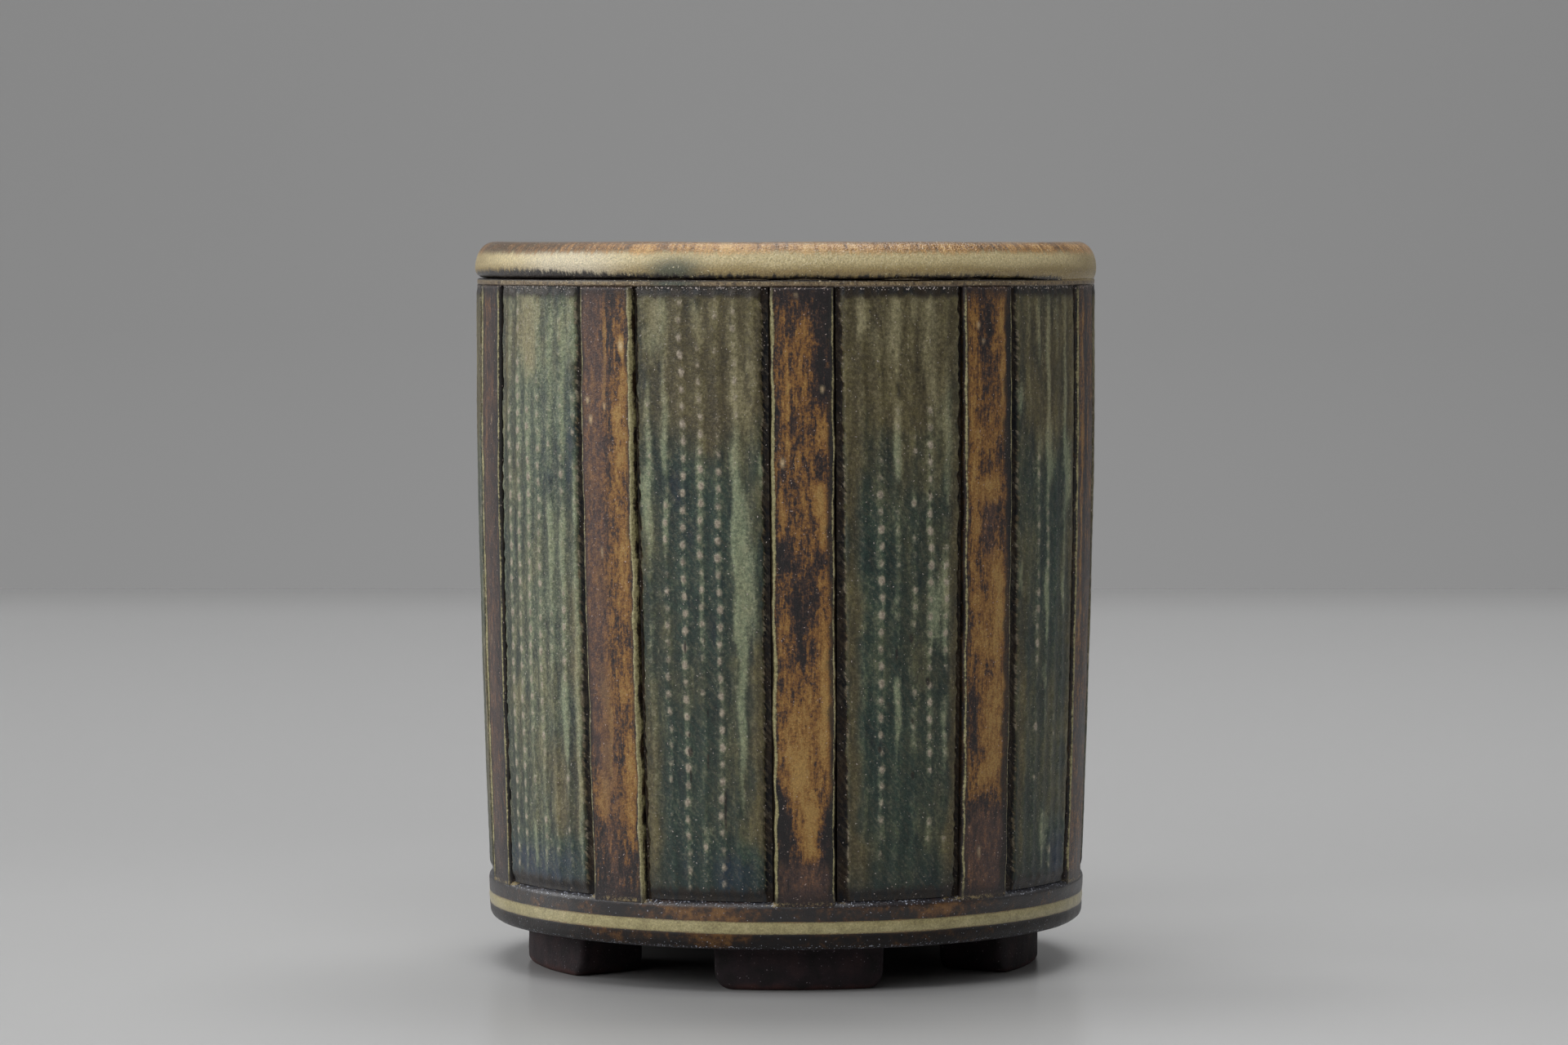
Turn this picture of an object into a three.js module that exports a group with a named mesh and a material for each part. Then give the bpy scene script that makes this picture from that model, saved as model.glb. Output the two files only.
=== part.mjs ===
// A small footed cylinder vase in stoneware, 133 mm tall and 115 mm across, open at the top.
// A plain inner wall stands on a round floor slab. Ten narrow smooth staves and ten wide ribbed
// panels are luted round the wall between a shoulder ring and a base band. A thick roll closes
// the rim, a line of pale slip is let into the base band, and five feet carry the slab.
// Units are millimetres, +Z is up, the origin is the centre of the footprint on the table,
// and the front of the vase faces -Y. Angles are in degrees from the front, to the right.
import * as THREE from "three";

// Heights above the table.
const FOOT_HEIGHT = 8.0;
const SLAB_TOP = 13.2;
const BAND_TOP = 16.6;
const STAVE_TOP = 124.8;
const SHOULDER_TOP = 126.1;
const RIM_TOP = 132.7;

// The body's outside radius is constant above TAPER_TOP and draws in by FOOT_TAPER below it.
const BODY_RADIUS = 57.1;
const TAPER_TOP = 100.0;
const FOOT_TAPER = 2.2;
const TAPER_POWER = 1.4;

// Depths from the body's outside, and the slip-filled gap between neighbours.
const WALL_INSIDE = 6.8;
const WALL_OUTSIDE = 3.2;
const CLADDING_BACK = 2.9;
const LUTE_GAP = 0.3;

// Staves, evenly spaced but for the little that each was set off its place by hand, in degrees
// at the top and at the bottom. The five that face the front are 9, 10, 1, 2 and 3.
const STAVE_COUNT = 10;
const STAVE_PITCH = 360 / STAVE_COUNT;
const FIRST_STAVE = 3.0;
const STAVE_WIDTH = 11.4;
const STAVE_PROUD = 0.15;
const ARRIS_WIDTH = 0.7;
const ARRIS_DEPTH = 0.65;
const STAVE_DRIFT = {
  1: { top: -0.2, bottom: 0.6 },
  2: { top: -0.1, bottom: 1.2 },
  3: { top: -2.4, bottom: -0.8 },
  9: { top: -0.3, bottom: -1.0 },
  10: { top: -1.1, bottom: 0.3 },
};

// Panels: ribs between two margins that slope back to the staves.
const RIBS = 7;
const RIB_PEAK = 0.05;
const RIB_VALLEY = 0.45;
const PANEL_MARGIN = 1.3;
const PANEL_EDGE_DEPTH = 1.0;

// Rim roll: an oval top on a tighter turned-under lower edge.
const ROLL_RADIUS = 57.3;
const ROLL_INSIDE = 49.7;
const ROLL_SHOULDER = { wide: 3.3, high: 4.7 };
const ROLL_UNDER = { wide: 1.5, high: 1.8 };
const ROLL_INNER = { wide: 3.6, high: 3.8 };
const ROLL_SEAT = 0.7;

// Floor slab, base band and the slip line in it.
const SLAB_RADIUS = 51.6;
const BAND_INSIDE = 51.9;
const BAND_RADIUS = 55.1;
const BAND_LIP = { wide: 0.9, high: 1.0 };
const BAND_FOOT = { wide: 1.7, high: 2.2 };
const LINE_BOTTOM = 10.9;
const LINE_TOP = 13.15;
const LINE_RADIUS = 55.0;
const LINE_DEPTH = 1.1;
const LINE_CROWN = 0.08;
const LINE_BED = 0.2;

// Feet: five arcs of one foot ring, with the lower corners sponged round.
const FOOT_COUNT = 5;
const FOOT_OUTSIDE = 47.7;
const FOOT_INSIDE = 33.6;
const FOOT_HALF_WIDTH = 15.15;
const FOOT_CORNER = 3.8;
const FOOT_EDGE = 0.8;
const FOOT_ARRIS = 1.0;

const RING_SIDES = 60;
const DEGREE = Math.PI / 180;

const glazes = {
  staves: { color: 0x6d4b2b, roughness: 0.5 },
  panels: { color: 0x4c5a4d, roughness: 0.55 },
  rim: { color: 0x9c8a5e, roughness: 0.45 },
  base: { color: 0x3b322c, roughness: 0.5 },
  line: { color: 0xa69b70, roughness: 0.7 },
  inside: { color: 0x54412c, roughness: 0.5 },
  clay: { color: 0x33272a, roughness: 0.85 },
};

const vase = new THREE.Group();

function add(name, geometry, glaze) {
  const material = new THREE.MeshStandardMaterial({ ...glazes[glaze], metalness: 0 });
  const mesh = new THREE.Mesh(geometry, material);
  mesh.name = name;
  vase.add(mesh);
}

// Evenly spaced values from one number to another, both ends included.
function spaced(from, to, count) {
  return Array.from({ length: count + 1 }, (_, i) => from + ((to - from) * i) / count);
}

// A length along the outside of the body as an angle.
function arc(length) {
  return length / BODY_RADIUS / DEGREE;
}

// The body's outside radius at a height.
function bodyRadius(z) {
  const below = Math.max(0, (TAPER_TOP - z) / (TAPER_TOP - BAND_TOP));
  return BODY_RADIUS - FOOT_TAPER * below ** TAPER_POWER;
}

// The direction of a stave's middle at a height.
function staveCentre(number, z) {
  const drift = STAVE_DRIFT[number] ?? { top: 0, bottom: 0 };
  const up = (z - BAND_TOP) / (STAVE_TOP - BAND_TOP);
  return FIRST_STAVE + (number - 1) * STAVE_PITCH + drift.bottom + (drift.top - drift.bottom) * up;
}

// Points of an oval quarter in a ring's outline, about [r, z], from one direction to another.
function oval(r, z, size, from, to, steps) {
  return spaced(from, to, steps).map((a) => {
    return [r + size.wide * Math.cos(a * DEGREE), z + size.high * Math.sin(a * DEGREE)];
  });
}

// A ring turned round the vase's axis from a closed outline of [radius, height] points,
// listed anticlockwise as seen with the axis on the left.
function turned(outline) {
  const points = [...outline, outline[0]].map(([r, z]) => new THREE.Vector2(r, z));
  return new THREE.LatheGeometry(points, RING_SIDES).rotateX(Math.PI / 2);
}

// A solid lofted through horizontal outlines. outlineAt(z) gives [angle, radius] points,
// anticlockwise from above, with the same number of points at every height.
function lofted(heights, outlineAt) {
  const outlines = heights.map((z) => {
    return outlineAt(z).map(([angle, r]) => {
      return new THREE.Vector2(r * Math.sin(angle * DEGREE), -r * Math.cos(angle * DEGREE));
    });
  });
  const count = outlines[0].length;
  const positions = outlines.flatMap((outline, level) => outline.flatMap((p) => [p.x, p.y, heights[level]]));
  const faces = [];
  for (let level = 0; level < heights.length - 1; level++) {
    for (let i = 0; i < count; i++) {
      const a = level * count + i;
      const b = level * count + ((i + 1) % count);
      faces.push(a, b, b + count, a, b + count, a + count);
    }
  }
  const top = (heights.length - 1) * count;
  for (const [a, b, c] of THREE.ShapeUtils.triangulateShape(outlines[0], [])) {
    faces.push(c, b, a);
  }
  for (const [a, b, c] of THREE.ShapeUtils.triangulateShape(outlines.at(-1), [])) {
    faces.push(top + a, top + b, top + c);
  }
  const geometry = new THREE.BufferGeometry();
  geometry.setAttribute("position", new THREE.Float32BufferAttribute(positions, 3));
  geometry.setIndex(faces);
  geometry.computeVertexNormals();
  return geometry;
}

// The heights at which the tapered wall, staves and panels bend, from a base up to the shoulder.
function bendsFrom(base) {
  return [base, 36, 56, 78, TAPER_TOP, STAVE_TOP];
}

function makeFloorSlab() {
  add("floor_slab", turned([
    [0, FOOT_HEIGHT],
    [SLAB_RADIUS, FOOT_HEIGHT],
    [SLAB_RADIUS, SLAB_TOP],
    [0, SLAB_TOP],
  ]), "inside");
}

function makeWall() {
  const heights = bendsFrom(SLAB_TOP);
  const outside = heights.map((z) => [bodyRadius(z) - WALL_OUTSIDE, z]);
  const inside = heights.map((z) => [bodyRadius(z) - WALL_INSIDE, z]).reverse();
  add("wall", turned([...outside, ...inside]), "inside");
}

function makeBaseBand() {
  const bed = LINE_RADIUS - LINE_DEPTH - LINE_BED;
  add("base_band", turned([
    [BAND_INSIDE, FOOT_HEIGHT],
    ...oval(BAND_RADIUS - BAND_FOOT.wide, FOOT_HEIGHT + BAND_FOOT.high, BAND_FOOT, -90, 0, 3),
    [BAND_RADIUS, LINE_BOTTOM],
    [bed, LINE_BOTTOM],
    [bed, LINE_TOP],
    [BAND_RADIUS, LINE_TOP],
    ...oval(BAND_RADIUS - BAND_LIP.wide, BAND_TOP - BAND_LIP.high, BAND_LIP, 0, 90, 3),
    [BAND_INSIDE, BAND_TOP],
  ]), "base");
}

function makeSlipLine() {
  const inside = LINE_RADIUS - LINE_DEPTH;
  add("slip_line", turned([
    [inside, LINE_BOTTOM],
    [LINE_RADIUS, LINE_BOTTOM],
    [LINE_RADIUS + LINE_CROWN, (LINE_BOTTOM + LINE_TOP) / 2],
    [LINE_RADIUS, LINE_TOP],
    [inside, LINE_TOP],
  ]), "line");
}

function makeShoulderRing() {
  const inside = BODY_RADIUS - WALL_INSIDE;
  const bead = { wide: 0.6, high: (SHOULDER_TOP - STAVE_TOP) / 2 };
  const edge = BODY_RADIUS - 0.2 - bead.wide;
  add("shoulder_ring", turned([
    [inside, STAVE_TOP],
    ...oval(edge, STAVE_TOP + bead.high, bead, -90, 90, 6),
    [inside, SHOULDER_TOP],
  ]), "rim");
}

function makeRimRoll() {
  const under = ROLL_RADIUS - ROLL_UNDER.wide;
  const shoulder = ROLL_RADIUS - ROLL_SHOULDER.wide;
  const inner = ROLL_INSIDE + ROLL_INNER.wide;
  add("rim_roll", turned([
    [ROLL_INSIDE + ROLL_SEAT, SHOULDER_TOP],
    ...oval(under, SHOULDER_TOP + ROLL_UNDER.high, ROLL_UNDER, -90, 0, 3),
    ...oval(shoulder, RIM_TOP - ROLL_SHOULDER.high, ROLL_SHOULDER, 0, 90, 5),
    ...oval(inner, RIM_TOP - ROLL_INNER.high, ROLL_INNER, 90, 180, 4),
  ]), "rim");
}

function makeStave(number) {
  const half = STAVE_WIDTH / 2;
  const arris = arc(ARRIS_WIDTH);
  const turn = { angle: half - arris * 0.35, depth: ARRIS_DEPTH * 0.3 };
  add(`stave_${number}`, lofted(bendsFrom(BAND_TOP), (z) => {
    const centre = staveCentre(number, z);
    const face = bodyRadius(z) + STAVE_PROUD;
    const back = bodyRadius(z) - CLADDING_BACK;
    return [
      [centre - half, face - ARRIS_DEPTH],
      [centre - turn.angle, face - turn.depth],
      ...spaced(-half + arris, half - arris, 4).map((a) => [centre + a, face]),
      [centre + turn.angle, face - turn.depth],
      [centre + half, face - ARRIS_DEPTH],
      ...spaced(half, -half, 2).map((a) => [centre + a, back]),
    ];
  }), "staves");
}

// A panel fills the space from its own stave to the next one round.
function makePanel(number) {
  const clear = STAVE_WIDTH / 2 + arc(LUTE_GAP);
  const margin = arc(PANEL_MARGIN);
  const stepsPerRib = 4;
  add(`panel_${number}`, lofted(bendsFrom(BAND_TOP), (z) => {
    const left = staveCentre(number, z) + clear;
    const lap = number === STAVE_COUNT ? 360 : 0;
    const right = staveCentre((number % STAVE_COUNT) + 1, z) + lap - clear;
    const outside = bodyRadius(z);
    const ribs = spaced(left + margin, right - margin, RIBS * stepsPerRib).map((a, i) => {
      const rise = (1 - Math.cos((2 * Math.PI * i) / stepsPerRib)) / 2;
      return [a, outside - RIB_VALLEY + (RIB_VALLEY - RIB_PEAK) * rise];
    });
    return [
      [left, outside - PANEL_EDGE_DEPTH],
      ...ribs,
      [right, outside - PANEL_EDGE_DEPTH],
      ...spaced(right, left, 4).map((a) => [a, outside - CLADDING_BACK]),
    ];
  }), "panels");
}

// How far a rounded lower corner of a given radius has drawn in at a height.
function drawnIn(radius, z) {
  const down = 1 - Math.min(1, z / radius);
  return radius * (1 - Math.sqrt(1 - down ** 2));
}

function makeFoot(number) {
  const centre = FIRST_STAVE + (number - 1) * (360 / FOOT_COUNT);
  const half = Math.asin(FOOT_HALF_WIDTH / FOOT_OUTSIDE) / DEGREE;
  const arris = FOOT_ARRIS / FOOT_OUTSIDE / DEGREE;
  const heights = [0, 0.3, FOOT_EDGE, 2.0, FOOT_CORNER, FOOT_HEIGHT];
  add(`foot_${number}`, lofted(heights, (z) => {
    const width = half - drawnIn(FOOT_CORNER, z) / FOOT_OUTSIDE / DEGREE;
    const outside = FOOT_OUTSIDE - drawnIn(FOOT_EDGE, z);
    const inside = FOOT_INSIDE + drawnIn(FOOT_EDGE, z);
    return [
      [centre - width, outside - FOOT_ARRIS],
      ...spaced(-width + arris, width - arris, 6).map((a) => [centre + a, outside]),
      [centre + width, outside - FOOT_ARRIS],
      ...spaced(width, -width, 4).map((a) => [centre + a, inside]),
    ];
  }), "clay");
}

makeFloorSlab();
makeWall();
makeBaseBand();
makeSlipLine();
makeShoulderRing();
makeRimRoll();
for (let number = 1; number <= STAVE_COUNT; number++) {
  makeStave(number);
  makePanel(number);
}
for (let number = 1; number <= FOOT_COUNT; number++) makeFoot(number);

export default vase;
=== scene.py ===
# A small footed cylinder vase in glazed stoneware: ten smooth brown staves and ten ribbed
# blue-green panels, under a thick cream and amber roll and on a dark band with a pale line, with
# five bare clay feet. Shapes are worked out in millimetres and written to the meshes in metres.
# +Z is up, the front faces -Y, and angles run in degrees from the front to the right.
import math
import random

import bpy
import numpy as np
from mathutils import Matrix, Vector, noise


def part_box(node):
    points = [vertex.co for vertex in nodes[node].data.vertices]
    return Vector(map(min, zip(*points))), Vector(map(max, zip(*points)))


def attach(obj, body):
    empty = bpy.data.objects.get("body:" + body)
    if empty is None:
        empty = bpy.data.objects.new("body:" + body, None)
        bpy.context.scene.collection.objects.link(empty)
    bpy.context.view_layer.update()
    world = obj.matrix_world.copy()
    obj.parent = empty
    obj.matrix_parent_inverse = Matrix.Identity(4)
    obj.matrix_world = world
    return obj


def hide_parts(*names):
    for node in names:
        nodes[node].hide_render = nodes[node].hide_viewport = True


MM = 0.001
DEGREE = math.pi / 180

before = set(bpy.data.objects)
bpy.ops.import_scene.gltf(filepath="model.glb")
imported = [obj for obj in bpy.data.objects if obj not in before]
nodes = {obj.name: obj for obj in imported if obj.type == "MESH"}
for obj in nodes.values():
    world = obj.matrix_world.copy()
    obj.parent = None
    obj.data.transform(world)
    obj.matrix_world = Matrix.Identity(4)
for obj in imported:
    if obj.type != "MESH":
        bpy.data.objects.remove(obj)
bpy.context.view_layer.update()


def heights_of(node):
    low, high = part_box(node)
    return low.z / MM, high.z / MM


STAVES = range(1, 11)  # There is a panel to the right of each.
FEET = range(1, 6)

# Heights in millimetres, as the frame has them.
FOOT_TOP = heights_of("foot_1")[1]
SLAB_TOP = heights_of("floor_slab")[1]
LINE_BOTTOM, LINE_TOP = heights_of("slip_line")
CLAD_BOTTOM, CLAD_TOP = heights_of("stave_1")
SHOULDER_TOP = heights_of("shoulder_ring")[1]
RIM_TOP = heights_of("rim_roll")[1]

# The body's outside: straight above TAPER_TOP and drawn in towards the foot below it.
BODY_RADIUS = 57.1
TAPER_TOP = 100.0
FOOT_TAPER = 2.2
TAPER_POWER = 1.4

# How deep under that outside the cladding's back and the two faces of the wall lie.
CLADDING_BACK = 2.9
WALL_OUTSIDE = 3.2
WALL_INSIDE = 6.8

# Seen from the front, the camera stands level with the rim and looks slightly down.
CAMERA_DISTANCE = 1012 * MM
CAMERA_SIDE = -0.33 * MM
CAMERA_LENS = 125.6
CAMERA_TILT = 2.94


class Flow:
    """What a node gives out, which can be used in sums like a number."""

    def __init__(self, wires, socket):
        self.wires = wires
        self.socket = socket

    def __add__(self, other):
        return self.wires.math("ADD", self, other)

    def __sub__(self, other):
        return self.wires.math("SUBTRACT", self, other)

    def __rsub__(self, other):
        return self.wires.math("SUBTRACT", other, self)

    def __mul__(self, other):
        return self.wires.math("MULTIPLY", self, other)

    def __truediv__(self, other):
        return self.wires.math("DIVIDE", self, other)

    def __pow__(self, other):
        return self.wires.math("POWER", self, other)

    def off(self, amount):
        """How far a pattern from 0 to 1 is off its middle, times the amount."""
        return (self - 0.5) * amount

    __radd__ = __add__
    __rmul__ = __mul__


class Wires:
    """Adds nodes to one tree and joins them up."""

    def __init__(self, tree):
        self.tree = tree

    def node(self, kind, inputs=None, **settings):
        node = self.tree.nodes.new(kind)
        for name, value in settings.items():
            setattr(node, name, value)
        for key, value in (inputs or {}).items():
            socket = node.inputs[key]
            if isinstance(value, Flow):
                self.tree.links.new(value.socket, socket)
            elif socket.type == "RGBA":
                socket.default_value = (*value, 1)
            else:
                socket.default_value = value
        return node

    def flow(self, kind, inputs=None, output=0, **settings):
        return Flow(self, self.node(kind, inputs, **settings).outputs[output])

    def math(self, operation, *values):
        return self.flow("ShaderNodeMath", dict(enumerate(values)), operation=operation)

    def highest(self, first, *others):
        for other in others:
            first = self.math("MAXIMUM", first, other)
        return first

    def vector(self, x, y, z):
        return self.flow("ShaderNodeCombineXYZ", {0: x, 1: y, 2: z})

    def stretched(self, vector, scale):
        return self.flow("ShaderNodeVectorMath", {0: vector, 1: scale}, operation="MULTIPLY")

    def noise(self, vector, size, detail=2.0, roughness=0.5, distortion=0.0):
        """A cloudy pattern from 0 to 1, with clouds of about the given size."""
        inputs = {"Vector": vector, "Scale": 1 / size, "Detail": detail}
        inputs |= {"Roughness": roughness, "Distortion": distortion}
        return self.flow("ShaderNodeTexNoise", inputs)

    def chance(self, *values):
        """A random number from 0 to 1 that is the same wherever the three values are."""
        return self.flow("ShaderNodeTexWhiteNoise", {"Vector": self.vector(*values)}, noise_dimensions="3D")

    def rise(self, value, low, high):
        """0 below low, 1 above high and smooth between."""
        inputs = {"Value": value, "From Min": low, "From Max": high}
        return self.flow("ShaderNodeMapRange", inputs, interpolation_type="SMOOTHSTEP")

    def fall(self, value, low, high):
        return 1 - self.rise(value, low, high)

    def bell(self, value, width):
        """1 at zero, falling away smoothly over the width on both sides."""
        return self.math("EXPONENT", (value / width) ** 2 * -1)


def blended(first, second, share):
    return first + (second - first) * share


def linked(thing):
    bpy.context.scene.collection.objects.link(thing)
    return thing


# The geometry trees of the cladding. Each makes one upright piece between two angles.

ROWS = 7
SHARP_ANGLE = 60


def start_tree(name, sizes):
    tree = bpy.data.node_groups.new(name, "GeometryNodeTree")
    tree.interface.new_socket("Geometry", in_out="OUTPUT", socket_type="NodeSocketGeometry")
    for label, value in sizes.items():
        socket = tree.interface.new_socket(label, in_out="INPUT", socket_type="NodeSocketFloat")
        socket.default_value = value
    wires = Wires(tree)
    entry = wires.node("NodeGroupInput")
    return wires, {label: Flow(wires, entry.outputs[label]) for label in sizes}


def finish_tree(wires, body, layers, place, material):
    """Stores the layers on the points, moves them to their place and gives the piece its material."""
    for name, value in layers.items():
        inputs = {"Geometry": body, "Name": name, "Value": value}
        body = wires.flow("GeometryNodeStoreNamedAttribute", inputs, data_type="FLOAT", domain="POINT")
    body = wires.flow("GeometryNodeSetPosition", {"Geometry": body, "Position": place})
    body = wires.flow("GeometryNodeSetShadeSmooth", {0: body, 2: True}, domain="FACE")
    corner = wires.math("GREATER_THAN", wires.flow("GeometryNodeInputMeshEdgeAngle"), SHARP_ANGLE * DEGREE)
    body = wires.flow("GeometryNodeSetShadeSmooth", {0: body, 1: corner, 2: False}, domain="EDGE")
    body = wires.flow("GeometryNodeRealizeInstances", {0: body})
    body = wires.flow("GeometryNodeSetMaterial", {"Geometry": body, "Material": material})
    wires.node("NodeGroupOutput", {"Geometry": body})
    return wires.tree


def upright_body(wires, face_points, back_points, levels):
    """A closed upright body, how far across and up it each point is, and whether it is on its back."""
    points = face_points + back_points
    inputs = {"Vertices": points, "Side Segments": levels, "Depth": 1.0}
    body = wires.flow("GeometryNodeMeshCylinder", inputs, fill_type="NGON")
    number = wires.math("MODULO", wires.flow("GeometryNodeInputIndex"), points)
    back = wires.math("GREATER_THAN", number, face_points - 0.5)
    across = blended(number / (face_points - 1), (points - 1 - number) / (back_points - 1), back)
    up = wires.flow("ShaderNodeSeparateXYZ", {0: wires.flow("GeometryNodeInputPosition")}, "Z") + 0.5
    return body, across, up, back


def sloping(size, name, up):
    return blended(size[f"{name} Bottom"], size[f"{name} Top"], up)


def tapered_radius(wires, height):
    below = wires.highest((TAPER_TOP - height) / (TAPER_TOP - CLAD_BOTTOM), 0.0)
    return BODY_RADIUS - below**TAPER_POWER * FOOT_TAPER


def polar_place(wires, angle, radius, height):
    turn = angle * DEGREE
    x = wires.math("SINE", turn) * radius * MM
    y = wires.math("COSINE", turn) * radius * -MM
    return wires.vector(x, y, height * MM)


def rounding(wires, distance, radius):
    """How far a rounded edge of that radius has drawn in, from 1 at the edge to 0."""
    inward = wires.math("MINIMUM", wires.highest(1 - distance / radius, 0.0), 1.0)
    return 1 - wires.math("SQRT", 1 - inward**2)


PLACES = {"Left Bottom": 0.0, "Left Top": 0.0, "Right Bottom": 10.0, "Right Top": 10.0, "Seed": 1.0}

PANEL_SIZES = PLACES | {
    "Rows": ROWS,
    "First Row": 2.2,
    "Last Row": 2.2,
    "Left Margin Bottom": 1.0,
    "Left Margin Top": 1.0,
    "Right Margin Bottom": 1.0,
    "Right Margin Top": 1.0,
    "Margin Depth": 0.75,
    "Rib Height": 0.13,
    "Dot Height": 0.15,
    "Dot Pitch": 3.03,
}


def make_panel_tree(material):
    wires, size = start_tree("ribbed_panel", PANEL_SIZES)
    body, across, up, back = upright_body(wires, face_points=96, back_points=8, levels=360)
    seed = size["Seed"]
    height = up * (CLAD_TOP - CLAD_BOTTOM) + CLAD_BOTTOM
    left = sloping(size, "Left", up)
    right = sloping(size, "Right", up)
    angle = blended(left, right, across)
    width = (right - left) * (DEGREE * BODY_RADIUS)
    from_left = across * width
    from_right = width - from_left

    # The groove down each side has a ragged edge. The panel sinks a little at its top and bottom.
    rag = wires.noise(wires.vector(angle + height * 0.6, height * 0.9, seed * 9), 1.3, 3.0)
    lumps = wires.noise(wires.vector(angle * 0.5, height, seed * 7), 3.2)
    left_margin = sloping(size, "Left Margin", up)
    right_margin = sloping(size, "Right Margin", up)
    inward = wires.highest(left_margin - from_left, right_margin - from_right)
    groove = wires.rise(inward + rag.off(0.9) + lumps.off(1.1), -0.25, 0.3)
    head = wires.fall(CLAD_TOP - height + rag.off(0.8), 0.4, 1.6)
    sill = wires.fall(height - CLAD_BOTTOM + rag.off(0.6), 0.5, 1.9)
    sunk = wires.highest(groove, head * 0.2, sill * 0.7)

    # Rows of raised dots on low ribs.
    rib_pitch = (width - size["First Row"] - size["Last Row"]) / (size["Rows"] - 1)
    weave = wires.noise(wires.vector(angle * 0.2, height, seed * 5), 18.0).off(0.5)
    lane = (from_left - size["First Row"]) / rib_pitch + 0.5 + weave
    row = wires.math("FLOOR", lane)
    beside = (lane - row - 0.5) * rib_pitch
    step = height / size["Dot Pitch"] + wires.chance(row, seed, 0.5)
    number = wires.math("FLOOR", step)
    above = (step - number - 0.5) * size["Dot Pitch"]
    raised = wires.chance(row, number, seed) * 0.6 + 0.6
    line = wires.bell(beside, 0.85)
    dot = wires.bell(beside, 0.6) * wires.bell(above, 0.75) * raised
    halo = wires.bell(beside, 0.75) * blended(0.15, 1.0, wires.bell(above, 0.95) * raised)

    swell = wires.noise(wires.vector(angle, height, seed * 3), 14.0).off(0.25)
    relief = swell - size["Rib Height"] * (1 - line) + size["Dot Height"] * dot - 0.05
    outside = tapered_radius(wires, height)
    face = outside + blended(relief, size["Margin Depth"] * -1, sunk)
    radius = blended(face, outside - CLADDING_BACK, back)
    layers = {"from_left": from_left, "groove": groove, "line": line, "dot": dot, "halo": halo}
    return finish_tree(wires, body, layers, polar_place(wires, angle, radius, height), material)


STAVE_SIZES = PLACES | {
    "Proud": 0.15,
    "Edge Radius": 0.75,
    "Top Radius": 0.3,
    "Foot Overlap": 0.8,
    "Ridge": 0.42,
    "Bead Height": 0.5,
    "Left Line": 0.4,
    "Right Line": 0.4,
    "Left Shade": 0.5,
    "Right Shade": 0.5,
}


def make_stave_tree(material):
    wires, size = start_tree("smooth_stave", STAVE_SIZES)
    body, share, up, back = upright_body(wires, face_points=52, back_points=6, levels=360)
    seed = size["Seed"]
    lowest = CLAD_BOTTOM - size["Foot Overlap"]
    height = up * (CLAD_TOP - lowest) + lowest
    # Points crowd towards the two edges, which are rounded.
    across = share - wires.math("SINE", share * (2 * math.pi)) * 0.1
    wavy = [wires.noise(wires.vector(0.0, height, seed * 9 + k), 9.0, 3.0).off(1.1) for k in (0, 5)]
    left = sloping(size, "Left", up) + wavy[0]
    right = sloping(size, "Right", up) - wavy[1]
    angle = blended(left, right, across)
    width = (right - left) * (DEGREE * BODY_RADIUS)
    from_left = across * width
    from_right = width - from_left
    from_side = wires.math("MINIMUM", from_left, from_right)
    from_top = CLAD_TOP - height

    uneven = wires.noise(wires.vector(0.0, height, seed * 4), 5.0, 4.0).off(2.2) + 1.0
    beads = []
    for side, distance in (("Left", from_left), ("Right", from_right)):
        off_ridge = wires.math("ABSOLUTE", distance - size["Ridge"])
        beads.append((size[f"{side} Line"] * uneven * 0.5, off_ridge))
    line = wires.highest(*(half - off for half, off in beads))
    bead = wires.highest(*(half * wires.bell(off, 0.28) for half, off in beads))
    left_shade = size["Left Shade"] * uneven - from_left
    right_shade = size["Right Shade"] * uneven - from_right
    swell = wires.noise(wires.vector(angle, height, seed * 3), 11.0, 3.0).off(0.3)
    drawn = wires.highest(
        rounding(wires, from_side, size["Edge Radius"]) * size["Edge Radius"],
        rounding(wires, from_top, size["Top Radius"]) * size["Top Radius"],
    )
    outside = tapered_radius(wires, height)
    face = outside + size["Proud"] + swell - drawn + bead * size["Bead Height"]
    radius = blended(face, outside - CLADDING_BACK, back)
    layers = {"from_left": from_left, "line": line, "shade": wires.highest(left_shade, right_shade)}
    return finish_tree(wires, body, layers, polar_place(wires, angle, radius, height), material)


def piece_of(name, mesh, slot, *replaced):
    """Links a finished mesh as a piece that stands for the named nodes."""
    piece = linked(bpy.data.objects.new(name, mesh))
    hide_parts(*replaced)
    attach(piece, "root")
    return piece


def grown(name, tree, sizes, slot, *replaced):
    """A piece made by a geometry tree with the given sizes."""
    host = linked(bpy.data.objects.new("host", bpy.data.meshes.new("host")))
    modifier = host.modifiers.new("shape", "NODES")
    modifier.node_group = tree
    for label, value in sizes.items():
        modifier[tree.interface.items_tree[label].identifier] = float(value)
    graph = bpy.context.evaluated_depsgraph_get()
    mesh = bpy.data.meshes.new_from_object(host.evaluated_get(graph), depsgraph=graph)
    mesh.name = name
    bpy.data.objects.remove(host)
    return piece_of(name, mesh, slot, *replaced)


def place_of(node):
    """The angles of a node's left and right side at its bottom and its top."""
    points = [vertex.co / MM for vertex in nodes[node].data.vertices]
    middle = sum((Vector((p.x, p.y)) for p in points), Vector((0, 0)))
    centre = math.degrees(math.atan2(middle.x, -middle.y))
    place = {}
    for end, level in (("Bottom", CLAD_BOTTOM), ("Top", CLAD_TOP)):
        turns = []
        for p in points:
            if abs(p.z - level) < 0.01:
                turn = math.degrees(math.atan2(p.x, -p.y)) - centre
                turns.append((turn + 180) % 360 - 180)
        place[f"Left {end}"] = centre + min(turns)
        place[f"Right {end}"] = centre + max(turns)
    return place


# Turned and modelled pieces. An outline is a list of (radius, height) points.

RING_SIDES = 480
SLAB_SIDES = 240


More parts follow.
